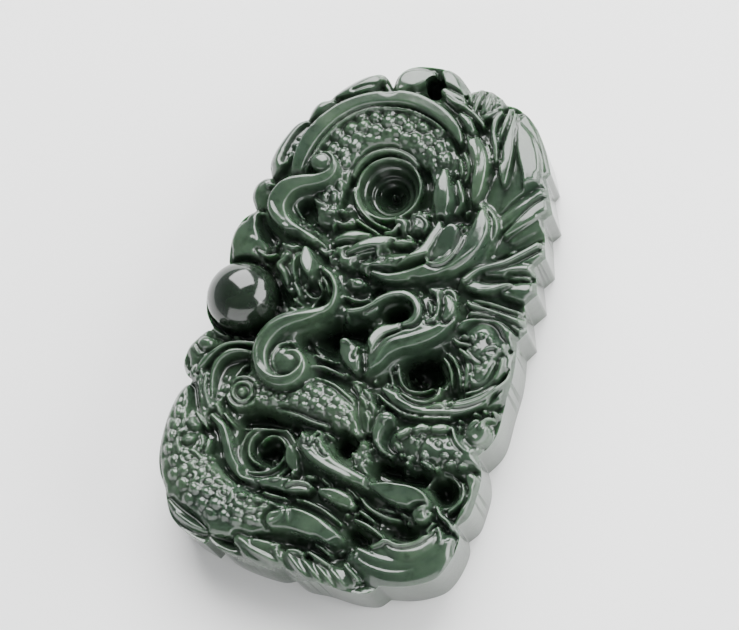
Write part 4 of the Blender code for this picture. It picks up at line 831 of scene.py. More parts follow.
def lower_left():
    """The big scaled coil round the lower left, and the ring strand over the small hollow."""
    strand([(-16.9, -10.4), (-16.8, -12.6), (-16.4, -15.2), (-15.2, -18.1), (-13.2, -20.4), (-10.6, -21.8), (-7.8, -22.2),
            (-5.2, -22.2), (-3.6, -22.2)],
           [.9, 1.6, 2.3, 2.9, 3.0, 2.8, 2.3, 1.9, 1.5], [8.6, 8.9, 9.2, 9.4, 9.5, 9.4, 9.2, 9.0, 8.9], h=1.2, kind="soft", moat=.4)
    scales([(-17.0, -10.8), (-16.8, -12.7), (-16.4, -15.2), (-15.2, -18.0), (-13.3, -20.2), (-10.7, -21.6), (-7.9, -22.0),
            (-5.3, -22.0), (-4.2, -22.0)],
           [.8, 1.4, 2.0, 2.45, 2.5, 2.3, 1.9, 1.5, 1.2], 9.3, pitch=1.5, rise=.52, rows=4, flip=1)
    # smooth rim along the outside of the coil
    strand([(-16.9, -20.3), (-16.2, -21.5), (-15.0, -22.6), (-13.3, -23.4), (-11.4, -23.9), (-9.4, -24.15),
            (-7.6, -24.1), (-5.8, -23.7)],
           [.5, .9, 1.1, 1.1, 1.1, 1.0, .8, .4], [8.3, 8.4, 8.5, 8.6, 8.7, 8.7, 8.7, 8.6], h=.5, kind="soft", mode="max", moat=0)
    for x, y, r, ry, a in ((-15.2, -13.7, .5, .4, 0), (-15.4, -15.45, .55, .32, 25)):
        bead(x, y, r + .35, 9.3, ry=ry + .4, turn=a, h=.6, moat=.25)
        bead(x, y, r, 9.6, ry=ry, turn=a, h=.3, moat=.1)
    for pts in ([(-14.1, -14.8), (-13.8, -15.5), (-13.9, -16.3)], [(-13.2, -15.1), (-13.2, -15.8), (-13.3, -16.5)],
                [(-16.6, -15.6), (-16.4, -16.4), (-16.1, -17.0)], [(-15.0, -16.6), (-14.3, -16.8), (-13.7, -17.3)],
                [(-9.6, -20.2), (-9.6, -20.9), (-9.9, -21.5)]):
        strand(pts, [.18, .26, .18], 9.5, h=.45, moat=.2)
    for x, y, r, ry, a in ((-12.7, -17.1, .28, .22, 0), (-13.6, -17.8, .42, .3, 40), (-12.6, -18.15, .34, .5, 30), (-12.0, -18.6, .3, .22, 20),
                           (-12.4, -19.7, .5, .28, 20), (-11.2, -19.45, .55, .3, -10), (-10.5, -20.45, .36, .36, 0), (-8.6, -20.5, .5, .3, 0),
                           (-7.6, -20.45, .28, .3, 0), (-6.8, -20.7, .6, .36, 0), (-5.1, -21.0, .75, .3, -25), (-14.5, -19.4, .3, .26, 0),
                           (-15.1, -17.5, .4, .26, -10), (-5.65, -22.5, .24, .6, 5), (-9.6, -21.9, .3, .2, 0)):
        bead(x, y, r, 9.55, ry=ry, turn=a, h=.45, moat=.22)
    strand([(-9.2, -19.5), (-8.3, -19.5), (-7.3, -19.55)], [.15, .24, .15], 8.6, h=.5, moat=.2)
    strand([(-6.4, -19.9), (-5.4, -20.1), (-3.9, -20.2)], [.18, .22, .16], 8.8, h=.5, moat=.2)
    # leaf line outside the rim
    strand([(-16.2, -22.4), (-14.8, -23.6), (-13.0, -24.5), (-11.8, -25.0)], [.3, .6, .6, .3], [8.0, 8.1, 8.1, 8.0], h=.4, kind="soft", moat=.1)
    strand([(-15.3, -23.5), (-14.3, -24.0), (-13.2, -24.5), (-12.3, -24.75)], [.14, .24, .24, .14], 8.4, h=.35, moat=.25)
    # ring strand: two thin ridges beside the coil's dark inner side
    # the small hollow
    pit(-6.7, -15.6, [(0, 4.6), (1.2, 4.7), (1.55, 5.0), (1.75, 5.9), (2.1, 6.2), (2.35, 6.9), (2.7, 7.2), (3.1, 7.6)], z=7.6)
    strand([(-10.3, -13.4), (-8.8, -13.1), (-6.9, -12.9), (-4.9, -12.9)], [.8, 1.0, .9, .7], [5.6, 5.0, 5.0, 5.4], h=-1.6, kind="soft", moat=0)
    strand([(-13.4, -12.6), (-12.2, -13.6), (-11.4, -15.2), (-10.7, -16.8), (-9.6, -18.0), (-8.3, -18.7), (-6.6, -18.9), (-5.0, -18.6)],
           [.35, .6, .65, .65, .62, .55, .45, .3], [9.0, 9.1, 9.1, 9.0, 8.9, 8.8, 8.7, 8.6], h=1.3, kind="round", moat=.3)
    ridge([(-12.9, -12.2), (-11.9, -13.3), (-11.1, -14.8), (-10.5, -16.3), (-9.8, -17.2), (-8.8, -17.9)], .26, [.2, .32, .32, .3, .15], z=9.1)
    strand([(-12.2, -12.1), (-11.6, -12.7), (-11.0, -13.2)], [.14, .22, .14], 9.0, h=.4, moat=.2)
    strand([(-8.2, -13.9), (-8.7, -14.7), (-8.75, -15.8), (-8.3, -16.7), (-7.3, -17.15)], [.14, .24, .24, .22, .18],
           7.9, h=.6, moat=.3)
    strand([(-7.6, -14.9), (-7.1, -14.2), (-6.3, -13.9), (-5.5, -14.1), (-4.9, -14.7), (-4.6, -15.1)], [.12, .18, .2, .22, .24, .16],
           7.7, h=.6, moat=.25)
    strand([(-4.75, -15.2), (-4.8, -16.0), (-5.2, -16.8), (-5.9, -17.5), (-7.0, -18.0), (-8.4, -18.1)], [.22, .24, .2, .2, .2, .14],
           7.9, h=.6, moat=.25)
    bead(-5.85, -16.7, .28, 5.9, ry=.36, turn=-40, h=.3, moat=.05)
    strand([(-15.2, -12.4), (-14.5, -13.2), (-13.7, -13.9)], [.14, .22, .14], 9.1, h=.5, moat=.25)


def foreleg():
    """Foreleg, claw and leaf, the foot at the right and the lobes and tail below."""
    # dark pocket behind the claw
    pit(1.2, -14.2, [(0, 5.0), (.8, 5.1), (1.4, 6.0), (2.0, 7.2)], z=7.6, squash=.8)
    strand([(5.4, -15.6), (8.0, -15.9), (11.4, -16.2)], [1.1, 1.4, 1.2], [4.6, 4.4, 4.6], h=-1.6, kind="soft", moat=0)
    # scaly tuft at the right of the pocket
    strand([(3.3, -13.4), (3.4, -14.8), (3.7, -16.2)], [.7, 1.0, .7], [8.8, 8.9, 8.9], h=.9, kind="soft", moat=.3)
    for x, y, r, ry, a in ((3.35, -13.55, .5, .3, -10), (4.2, -13.6, .24, .24, 0), (2.35, -14.5, .26, .3, 0), (2.8, -14.9, .4, .2, -10),
                           (3.7, -14.4, .3, .24, 0), (4.1, -15.0, .26, .3, 0), (2.7, -15.8, .34, .2, -30), (3.5, -15.6, .3, .3, 0),
                           (4.05, -16.3, .24, .24, 0)):
        bead(x, y, r, 9.25, ry=ry, turn=a, h=.4, moat=.2)
    # spur
    strand([(5.1, -10.4), (5.1, -11.8), (5.5, -13.0), (6.4, -13.9)], [1.1, 1.3, 1.0, .4], [9.3, 9.3, 9.1, 8.9], h=1.1, kind="flat", moat=.35)
    bead(5.2, -10.3, .85, 9.7, ry=.5, turn=-10, h=.5, moat=.1)
    ridge([(4.1, -12.6), (5.0, -13.2), (6.0, -13.7), (6.6, -13.8)], .25, [.1, .25, .2], z=9.0)
    # foot with its toes and knuckles
    strand([(7.0, -12.3), (9.0, -12.4), (11.4, -12.4), (13.6, -12.6), (15.4, -13.0)], [1.3, 1.9, 2.1, 1.9, 1.2],
           [8.8, 9.2, 9.3, 9.1, 8.7], h=1.1, kind="soft", moat=.4)
    for pts, w in (([(6.7, -11.7), (7.4, -11.2), (8.1, -10.8)], .42), ([(8.4, -10.95), (9.0, -10.6), (9.6, -10.5)], .6),
                   ([(10.2, -10.5), (11.0, -10.3), (12.0, -10.1)], .5)):
        strand(pts, [w * .7, w, w * .6], [9.95, 9.85, 9.75], h=.7, kind="flat", moat=.2, face=(-.03, .36))
    for x, y, r, ry, a in ((6.85, -12.9, .55, .3, -45), (8.2, -12.0, .35, .45, 0), (8.9, -12.2, .28, .4, -15), (10.4, -11.7, .4, .24, -20),
                           (11.0, -12.1, .4, .26, -40), (8.3, -14.0, .42, .36, 0), (9.8, -13.5, .42, .5, 20), (10.2, -14.4, .9, .3, -20),
                           (11.4, -14.7, .36, .34, 0), (13.2, -13.0, .4, .22, 10), (11.9, -13.2, .45, .3, 0), (12.6, -14.0, .5, .34, 20),
                           (8.2, -14.6, .4, .24, 0), (14.4, -12.4, .4, .2, 10), (15.2, -12.0, .4, .24, 0), (13.8, -14.0, .4, .26, 30),
                           (9.3, -11.5, .3, .26, 0), (12.2, -11.9, .3, .24, 0), (7.4, -13.8, .3, .24, 0)):
        bead(x, y, r, 9.5, ry=ry, turn=a, h=.45, moat=.2)
    groove([(9.6, -11.4), (9.4, -12.4), (9.2, -13.6), (9.4, -14.6)], .25, .35, z=9.2)
    groove([(12.0, -10.6), (12.6, -11.8), (13.6, -12.6)], .22, .3, z=9.2)
    strand([(12.2, -10.1), (12.6, -11.1), (13.2, -11.9), (13.9, -12.4)], [.14, .2, .2, .14], 9.4, h=.4, moat=.2)
    # knob at the side
    bead(14.9, -10.3, 1.35, 9.4, ry=1.35, h=.8, moat=.35)
    dome(14.9, -10.4, .8, -.25, z=9.4)
    strand([(13.95, -9.9), (14.3, -9.3), (14.7, -9.0)], [.2, .3, .2], 9.5, h=.4, moat=.15)
    strand([(15.0, -9.9), (15.2, -9.1), (15.6, -8.7), (16.2, -8.5)], [.14, .2, .2, .2], 9.5, h=.4, moat=.15)
    for x, y, r, ry, a in ((14.4, -8.4, .42, .24, 15), (15.3, -8.0, .34, .26, 0), (16.4, -8.0, .5, .3, -25), (12.9, -9.35, .3, .24, 0),
                           (13.0, -10.1, .22, .4, 0)):
        bead(x, y, r, 9.2, ry=ry, turn=a, h=.45, moat=.2)
    # pocket and lobes at the lower right
    pit(12.6, -17.2, [(0, 4.9), (.7, 5.0), (1.2, 5.8), (1.6, 7.0), (1.9, 7.8)], z=7.6)
    bead(12.35, -17.4, .22, 5.5, h=.2, moat=0)
    strand([(4.3, -22.4), (4.9, -23.3), (5.4, -24.2)], [.7, .9, .6], 5.0, h=-1.0, kind="soft", moat=0)
    strand([(15.1, -15.2), (15.8, -16.4), (15.7, -18.2), (15.2, -19.8), (14.3, -21.0)], [.6, .9, 1.1, 1.0, .5],
           [8.7, 8.8, 8.8, 8.7, 8.5], h=.8, kind="flat", moat=.3)
    strand([(15.3, -15.1), (16.0, -15.9), (15.95, -17.0), (15.75, -18.2)], [.24, .36, .3, .15], 9.1, h=.5, moat=.1)
    strand([(14.3, -15.8), (14.6, -16.8), (14.35, -17.9), (13.4, -19.0)], [.16, .26, .28, .22], 8.7, h=.7, moat=.3)
    strand([(12.1, -18.7), (12.6, -19.5), (13.3, -19.9), (13.8, -20.4), (14.1, -20.9)], [.25, .28, .28, .26, .16], 8.9, h=.6, moat=.3)
    # arm of the foreleg
    strand([(-4.4, -14.9), (-4.0, -16.0), (-3.4, -17.0)], [.5, .8, .5], [8.7, 8.6, 8.3], h=.9, kind="flat", moat=.3)
    strand([(-3.0, -13.9), (-2.0, -14.4), (-1.0, -15.2), (.4, -16.0), (2.2, -16.6), (3.8, -17.1), (5.2, -17.7)],
           [.9, 1.3, 1.1, .85, .72, .6, .3], [9.7, 10.0, 10.0, 9.9, 9.9, 9.9, 9.8], h=1.4, kind="bevel", moat=.45)
    ridge([(-3.0, -14.8), (-1.6, -15.6), (0.0, -16.3), (1.8, -16.9), (3.3, -17.7), (4.0, -18.4)], .24, [.1, .22, .22, .15], z=9.7)
    for pts in ([(-3.4, -13.0), (-3.1, -13.6), (-2.6, -14.0)], [(-2.25, -12.9), (-2.3, -13.4), (-2.5, -14.0)],
                [(-1.5, -12.9), (-1.6, -13.5), (-1.5, -14.1)], [(-1.3, -13.9), (-1.0, -14.4), (-.6, -14.8)]):
        strand(pts, [.24, .34, .2], [10.1, 10.2, 10.1], h=.6, moat=.25)
    strand([(-2.0, -12.7), (-1.5, -12.6), (-1.1, -12.8)], [.16, .22, .16], 9.6, h=.4, moat=.2)
    strand([(-.8, -12.8), (-.2, -13.1)], [.2, .18], 9.0, h=.5, moat=.2)
    bead(-1.5, -15.0, .3, 10.1, ry=.16, turn=-35, h=.2, moat=0)
    # leaf at its end
    strand([(4.9, -17.4), (6.2, -17.6), (7.8, -17.9), (9.4, -18.0), (10.5, -18.4), (11.0, -19.2)], [.3, .8, 1.15, 1.1, .8, .35],
           [9.7, 9.8, 9.8, 9.8, 9.7, 9.5], h=1.3, kind="flatter", moat=.35)
    ridge([(5.4, -17.2), (6.5, -16.9), (8.2, -16.8), (9.7, -17.1), (10.6, -17.7), (11.1, -18.8)], .26, [.1, .25, .25, .25, .15], z=9.8)
    bead(10.5, -19.7, 1.05, 9.5, ry=.9, h=.8, moat=.3)
    strand([(10.2, -19.1), (10.7, -18.8), (11.1, -19.0)], [.2, .26, .16], 9.8, h=.3, moat=.1)
    bead(11.5, -19.5, .3, 9.1, h=.3, moat=.15)
    # fin lines under the leaf
    pit(8.8, -21.7, [(0, 5.2), (.9, 5.3), (1.6, 6.2), (2.3, 7.4)], z=7.6, squash=.55, turn=-8)
    strand([(6.0, -19.7), (6.8, -19.85), (7.6, -19.85)], [.16, .24, .16], 8.9, h=.5, moat=.25)
    strand([(8.5, -19.95), (9.3, -20.2)], [.2, .2], 8.9, h=.4, moat=.2)
    strand([(4.0, -18.9), (4.8, -19.7), (6.0, -20.3), (7.3, -20.65), (8.6, -20.75)], [.16, .28, .3, .28, .16],
           [9.0, 8.9, 8.8, 8.6, 8.4], h=.7, moat=.35)
    bead(9.5, -20.95, .24, 7.9, h=.3, moat=.1)
    strand([(4.1, -20.3), (4.9, -20.7), (5.8, -21.2)], [.2, .28, .2], [8.9, 8.9, 8.8], h=.6, moat=.3)
    bead(3.75, -20.75, .24, 8.6, h=.3, moat=.15)
    bead(2.95, -20.95, .35, 8.6, ry=.2, turn=15, h=.3, moat=.15)
    strand([(3.8, -21.3), (5.0, -21.65), (6.2, -22.2), (7.3, -22.9)], [.2, .3, .28, .2], [8.9, 8.9, 8.9, 8.9], h=.7, moat=.3)
    # lobes between the small hollow and the tail
    strand([(-6.6, -18.9), (-5.2, -18.7), (-3.6, -18.8), (-1.8, -18.9)], [.5, .75, .8, .5], [8.7, 8.8, 8.8, 8.7], h=.8, kind="flat", moat=.3)
    bead(-5.3, -18.3, .7, 9.1, ry=.28, turn=18, h=.4, moat=.15)
    strand([(-4.1, -18.9), (-3.3, -18.35), (-2.0, -18.3), (-1.3, -18.7)], [.2, .3, .3, .2], 9.0, h=.5, moat=.2)
    bead(-3.6, -17.5, .34, 8.8, h=.4, moat=.2)
    bead(-1.7, -17.6, .7, 8.9, ry=.3, turn=0, h=.5, moat=.2)
    bead(-.55, -18.6, .34, 9.1, ry=.24, turn=45, h=.4, moat=.2)
    strand([(-.4, -17.6), (.4, -18.15)], [.2, .22], 8.8, h=.4, moat=.2)
    strand([(2.3, -18.2), (3.0, -18.6), (3.6, -19.0)], [.16, .24, .16], 8.9, h=.4, moat=.2)
    strand([(-.2, -18.9), (1.0, -19.0), (2.3, -19.4), (3.2, -19.9)], [.5, .8, .85, .5], [8.9, 9.1, 9.1, 8.9], h=.9, kind="bevel", moat=.35)
    ridge([(-.6, -19.3), (.6, -19.5), (1.6, -20.1), (2.6, -20.4), (3.4, -20.0), (3.5, -19.4)], .24, [.1, .2, .2, .1], z=8.9)
    # tail: long tapering strand with a bright upper face
    strand([(-2.8, -20.1), (-1.4, -20.3), (.2, -20.8), (1.4, -21.4), (2.5, -22.0)], [.14, .24, .22, .24, .14], 8.7, h=.6, moat=.3)
    strand([(-4.6, -22.5), (-2.8, -22.2), (-.6, -22.6), (1.2, -23.2), (2.4, -23.7)],
           [1.1, 1.3, 1.2, .95, .6], [9.4, 9.5, 9.5, 9.4, 9.2], h=1.2, kind="flat", moat=.3)
    ridge([(-3.4, -21.0), (-1.6, -21.2), (.2, -21.7), (1.6, -22.3), (2.6, -23.0), (2.9, -23.7)], .26, [.15, .35, .35, .3, .2], z=9.6)
    for pts in ([(-3.9, -20.9), (-3.9, -21.9), (-4.4, -22.6), (-5.1, -22.9)], [(-3.5, -21.0), (-3.3, -21.8), (-3.1, -22.6)]):
        ridge(pts, .22, [.2, .35, .2], z=9.5)
    dome(-2.2, -21.3, 1.2, .12, ry=.3, turn=-14, z=9.5)


def bottom():
    """Leaves of the lower edge."""
    # wide leaf bands at the right, on a smooth shoulder
    strand([(4.6, -25.4), (6.8, -26.1), (9.2, -26.2), (11.4, -25.3), (13.0, -23.8), (13.9, -22.0)], [1.2, 1.9, 2.0, 2.0, 1.8, 1.0],
           [8.2, 8.3, 8.3, 8.3, 8.2, 8.1], h=1.2, kind="soft", moat=0)
    strand([(7.4, -23.2), (9.0, -23.9), (10.8, -23.8), (12.4, -22.6), (13.0, -21.4)], [.5, 1.0, 1.1, 1.0, .4],
           [8.7, 8.7, 8.7, 8.6, 8.5], h=.4, kind="soft", mode="max", moat=0)
    strand([(4.8, -24.5), (7.0, -25.2), (9.0, -25.3), (11.0, -24.8), (12.6, -23.6), (13.6, -22.2)], [.5, .8, .8, .8, .7, .4],
           [8.4, 8.45, 8.45, 8.45, 8.4, 8.3], h=.4, kind="soft", mode="max", moat=0)
    ridge([(4.6, -24.2), (6.4, -24.75), (8.4, -24.95), (10.2, -24.6), (11.8, -23.6), (12.7, -22.8)], .2, [.05, .08, .05], z=8.6)
    ridge([(4.4, -25.6), (6.4, -26.15), (8.4, -26.35), (10.4, -25.9), (11.8, -24.8)], .22, [.05, .08, .05], z=8.4)
    bead(7.3, -24.3, 1.3, 8.35, ry=.8, turn=-15, h=.3, moat=0, mode="max")
    strand([(5.9, -23.8), (6.7, -23.4), (7.4, -22.95), (8.4, -23.25), (9.4, -23.15), (10.6, -22.6), (11.6, -21.7), (12.6, -20.7)],
           [.14, .26, .3, .24, .22, .22, .24, .2], 9.0, h=.6, moat=.2)
    strand([(12.6, -20.8), (12.9, -21.5), (13.1, -22.3)], [.22, .2, .14], 8.9, h=.5, moat=.15)
    strand([(11.5, -21.4), (12.1, -20.4)], [.22, .18], 8.6, h=.4, moat=.15)
    bead(4.6, -25.0, .3, 8.6, ry=.2, turn=60, h=.3, moat=.15)
    # leaves at the left: long smooth blades that roll down over the edge
    strand([(-8.0, -25.3), (-5.4, -26.3), (-2.8, -27.0), (-.4, -27.6)], [.7, 1.3, 1.3, .8], [8.3, 8.3, 8.2, 8.1], h=.5, kind="soft", moat=.1)
    strand([(-6.2, -25.3), (-4.6, -25.5), (-3.8, -25.6)], [.5, .6, .3], [8.4, 8.6, 8.6], h=.4, kind="flat", moat=.1)
    strand([(-2.6, -26.4), (-.4, -27.4), (2.0, -27.7), (4.4, -27.6)], [.8, 1.3, 1.4, 1.0], [8.3, 8.2, 8.1, 8.1], h=.5, kind="soft", moat=0)
    strand([(-4.9, -25.7), (-4.2, -25.3), (-3.7, -25.1)], [.2, .34, .2], 8.7, h=.35, moat=.1)
    strand([(-2.6, -25.5), (-1.7, -25.55), (-.9, -25.7)], [.2, .38, .24], 8.7, h=.4, moat=.15)
    strand([(-.5, -25.4), (.4, -25.8), (1.3, -26.2), (2.1, -26.5)], [.2, .34, .3, .18], 8.6, h=.4, moat=.2)
    strand([(3.6, -26.1), (4.3, -26.8), (5.3, -27.6)], [.2, .3, .24], [8.5, 8.5, 8.4], h=.4, moat=.2)
    strand([(0.1, -24.5), (1.0, -24.9), (1.9, -25.4)], [.14, .22, .14], 8.5, h=.4, moat=.2)
    ridge([(-6.8, -24.9), (-4.2, -24.5), (-2.0, -24.3), (-.2, -24.5)], .22, [.1, .2, .2, .1], z=8.4)
    strand([(2.9, -25.3), (3.3, -25.0)], [.2, .2], 7.2, h=.3, moat=.05)


def roll_edge():
    """Keep the front below the rounded shoulder that runs all along the outline."""
    d = np.maximum(DIST, 0)
    X, Y = np.meshgrid(GX, GY)
    t = np.clip(d / .34, 0, 1)
    limit = EDGE_TOP - .34 + .34 * np.sqrt(1 - (1 - t) ** 2) + np.maximum(d - .1, 0) * 1.3
    # lower left: the leaves turn down over the edge in a wide round
    a = np.clip((2.4 - np.abs(X + 5.2)) / 2.0 + 1.6, 0, 1) * np.clip((-23.6 - Y) / 1.6, 0, 1)
    t = np.clip(d / 2.6, 0, 1)
    wide = 6.2 + 2.3 * np.sqrt(1 - (1 - t) ** 2) + np.maximum(d - 2.6, 0) * 1.5
    limit = limit * (1 - a) + np.minimum(limit, wide) * a
    over = Z - limit
    # a soft minimum, so that ridges running over the edge keep a little of their form
    Z[:] = np.where(over > 0, limit + .22 * np.minimum(over, 1.2) * np.clip(d / .5, 0, 1), Z)
    low = EDGE_TOP - .9 - 1.4 * a
    Z[:] = np.where((DIST < .55) & (Z < low), np.maximum(Z, low - 1.6 * np.clip(d / .55, 0, 1)), Z)


def blades():
    """Fine ribs of the leaves that run down over the rounded lower edge."""
    for pts, w, a in (([(-7.8, -25.3), (-6.2, -26.2), (-4.0, -27.0), (-1.9, -27.8)], .4, .45), ([(-8.4, -26.1), (-6.6, -27.0), (-4.6, -27.7)], .36, .4),
                      ([(-4.3, -25.4), (-3.5, -26.4), (-2.4, -27.6)], .3, .4), ([(-2.6, -25.8), (-1.3, -27.2), (.4, -28.7)], .36, .45),
                      ([(-1.0, -26.1), (.3, -27.3), (1.6, -28.7)], .32, .42), ([(.6, -26.5), (1.8, -27.6), (3.0, -28.9)], .3, .4),
                      ([(2.2, -26.8), (3.2, -27.7), (4.4, -28.8)], .3, .36), ([(3.6, -26.2), (4.5, -26.9), (5.6, -27.8)], .28, .4)):
        ridge(pts, w, [a * .4, a, a * .6], z=8.2)


def carve():
    upper_leaves()
    upper_mane()
    mane_fins()
    upper_coil()
    head()
    left_upper()
    left_middle()
    lower_left()
    right_middle()
    foreleg()
    bottom()
    middle()
    spiral()
    small_figure()
    roll_edge()
    blades()
    Z[:] = ease_gaps(Z, 8, 1.9)
    ball()


carve()
Z[:] = np.clip(blur(Z, 1.05), 3.2, 11.0)


# ---------------------------------------------------------------- the solid form
def new_object(name, verts, faces):
    me = bpy.data.meshes.new(name)
    me.from_pydata([tuple(map(float, v)) for v in verts], [], faces)
    me.update()
    ob = bpy.data.objects.new(name, me)
    bpy.context.scene.collection.objects.link(ob)
    return ob


def relief_block():
    """The height map as a closed block, a little larger than the outline."""
    zz = Z[::KEEP, ::KEEP]
    xs, ys = GX[::KEEP], GY[::KEEP]
    ny, nx = zz.shape
    X, Y = np.meshgrid(xs, ys)
    top = np.stack([X.ravel(), Y.ravel(), zz.ravel()], 1)
    idx = np.arange(nx * ny).reshape(ny, nx)
    quads = np.stack([idx[:-1, :-1], idx[:-1, 1:], idx[1:, 1:], idx[1:, :-1]], -1).reshape(-1, 4)
    verts = top.tolist()
    base = len(verts)
    verts += [(xs[0], ys[0], -1.0), (xs[-1], ys[0], -1.0), (xs[-1], ys[-1], -1.0), (xs[0], ys[-1], -1.0)]
    faces = quads.tolist()
    b0, b1, b2, b3 = base, base + 1, base + 2, base + 3
    faces.append([b0, b1] + idx[0, ::-1].tolist())
    faces.append([b1, b2] + idx[::-1, -1].tolist())
    faces.append([b2, b3] + idx[-1, :].tolist())
    faces.append([b3, b0] + idx[:, 0].tolist())
    faces.append([b0, b3, b2, b1])
    return new_object("relief_block", verts, faces)


def outline_prism():
    """The outline as an upright wall with a fine chamfer at the flat back."""
    O = outline(0.28)
    nxt, prv = np.roll(O, -1, 0), np.roll(O, 1, 0)
    t = nxt - prv
    t /= np.hypot(t[:, 0], t[:, 1])[:, None]
    n = np.stack([t[:, 1], -t[:, 0]], 1)          # points left of clockwise = outside
    n = -n if ((O + .05 * n) ** 2).sum() < (O ** 2).sum() else n
    I = O - 0.16 * n
    k = len(O)
    verts = [(x, y, 0.0) for x, y in I] + [(x, y, 0.18) for x, y in O] + [(x, y, 13.0) for x, y in O]
    faces = []
    for r in (0, 1):
        for i in range(k):
            j = (i + 1) % k
            faces.append([r * k + j, r * k + i, (r + 1) * k + i, (r + 1) * k + j])
    faces.append(list(range(k)))
    faces.append(list(range(3 * k - 1, 2 * k - 1, -1)))
    ob = new_object("outline_prism", verts, faces)
    bm = bmesh.new()
    bm.from_mesh(ob.data)
    bmesh.ops.recalc_face_normals(bm, faces=bm.faces)
    bm.to_mesh(ob.data)
    bm.free()
    return ob


def hanging_hole():
    """The drill: a round bore with a small countersink at its mouth in the back."""
    x, y = HOLE_AT[0] - CENTRE[0], HOLE_AT[1] - CENTRE[1]
    prof = [(HOLE_D / 2 + .35, -.2), (HOLE_D / 2 + .2, 0), (HOLE_D / 2, .22), (HOLE_D / 2, 12.5)]
    n = 64
    verts, faces = [], []
    for r, z in prof:
        for i in range(n):
            a = 2 * np.pi * i / n
            verts.append((x + r * np.cos(a), y + r * np.sin(a), z))
    for s in range(len(prof) - 1):
        for i in range(n):
            j = (i + 1) % n
            faces.append([s * n + i, s * n + j, (s + 1) * n + j, (s + 1) * n + i])
    faces.append(list(range(n - 1, -1, -1)))
    faces.append(list(range((len(prof) - 1) * n, len(prof) * n)))
    return new_object("hanging_hole", verts, faces)


def combined(ob, tool, op):
    """A boolean that must leave a closed body of a sensible volume."""
    for solver in ("MANIFOLD", "EXACT"):
        m = ob.modifiers.new("b", "BOOLEAN")
        m.operation, m.solver, m.object = op, solver, tool
        dg = bpy.context.evaluated_depsgraph_get()
        me = bpy.data.meshes.new_from_object(ob.evaluated_get(dg))
        ob.modifiers.remove(m)
        bm = bmesh.new()
        bm.from_mesh(me)
        vol = bm.calc_volume() if len(bm.faces) else 0.0
        open_edges = sum(1 for e in bm.edges if not e.is_manifold)
        bm.free()
        if vol > 1000 and open_edges == 0:
            ob.data = me
            return ob
    raise RuntimeError("no closed result")


pendant = relief_block()
for tool, op in ((outline_prism(), "INTERSECT"), (hanging_hole(), "DIFFERENCE")):
    pendant = combined(pendant, tool, op)
    bpy.data.objects.remove(tool, do_unlink=True)

bm = bmesh.new()
bm.from_mesh(pendant.data)
bmesh.ops.dissolve_degenerate(bm, dist=1e-4, edges=bm.edges)
# a point with only two edges would fold two faces onto each other
bmesh.ops.dissolve_verts(bm, verts=[v for v in bm.verts if len(v.link_edges) == 2])
bmesh.ops.triangulate(bm, faces=[f for f in bm.faces if len(f.verts) > 4])
for v in bm.verts:
    v.co *= MM
for f in bm.faces:
    f.smooth = True
for e in bm.edges:
    if len(e.link_faces) == 2:
        a, b = (f.normal for f in e.link_faces)
        low = max(v.co.z for v in e.verts) < 0.0006
        wall = (abs(a.z) < 0.01) != (abs(b.z) < 0.01)
        e.smooth = not ((low or wall) and a.angle(b, 0) > 0.5)
stone_mesh = bpy.data.meshes.new("jade_pendant_stone")
bm.to_mesh(stone_mesh)
tri = sum(len(f.verts) - 2 for f in bm.faces)
bm.free()
pendant.data = stone_mesh
pendant.name = "pendant_stone"
print("stone triangles", tri)


# -------------------------------------------------------------------- the stone
def node(nt, kind, **kw):
    n = nt.nodes.new(kind)
    for k, v in kw.items():
        if k in n.inputs:
            n.inputs[k].default_value = v
        else:
            setattr(n, k, v)
    return n


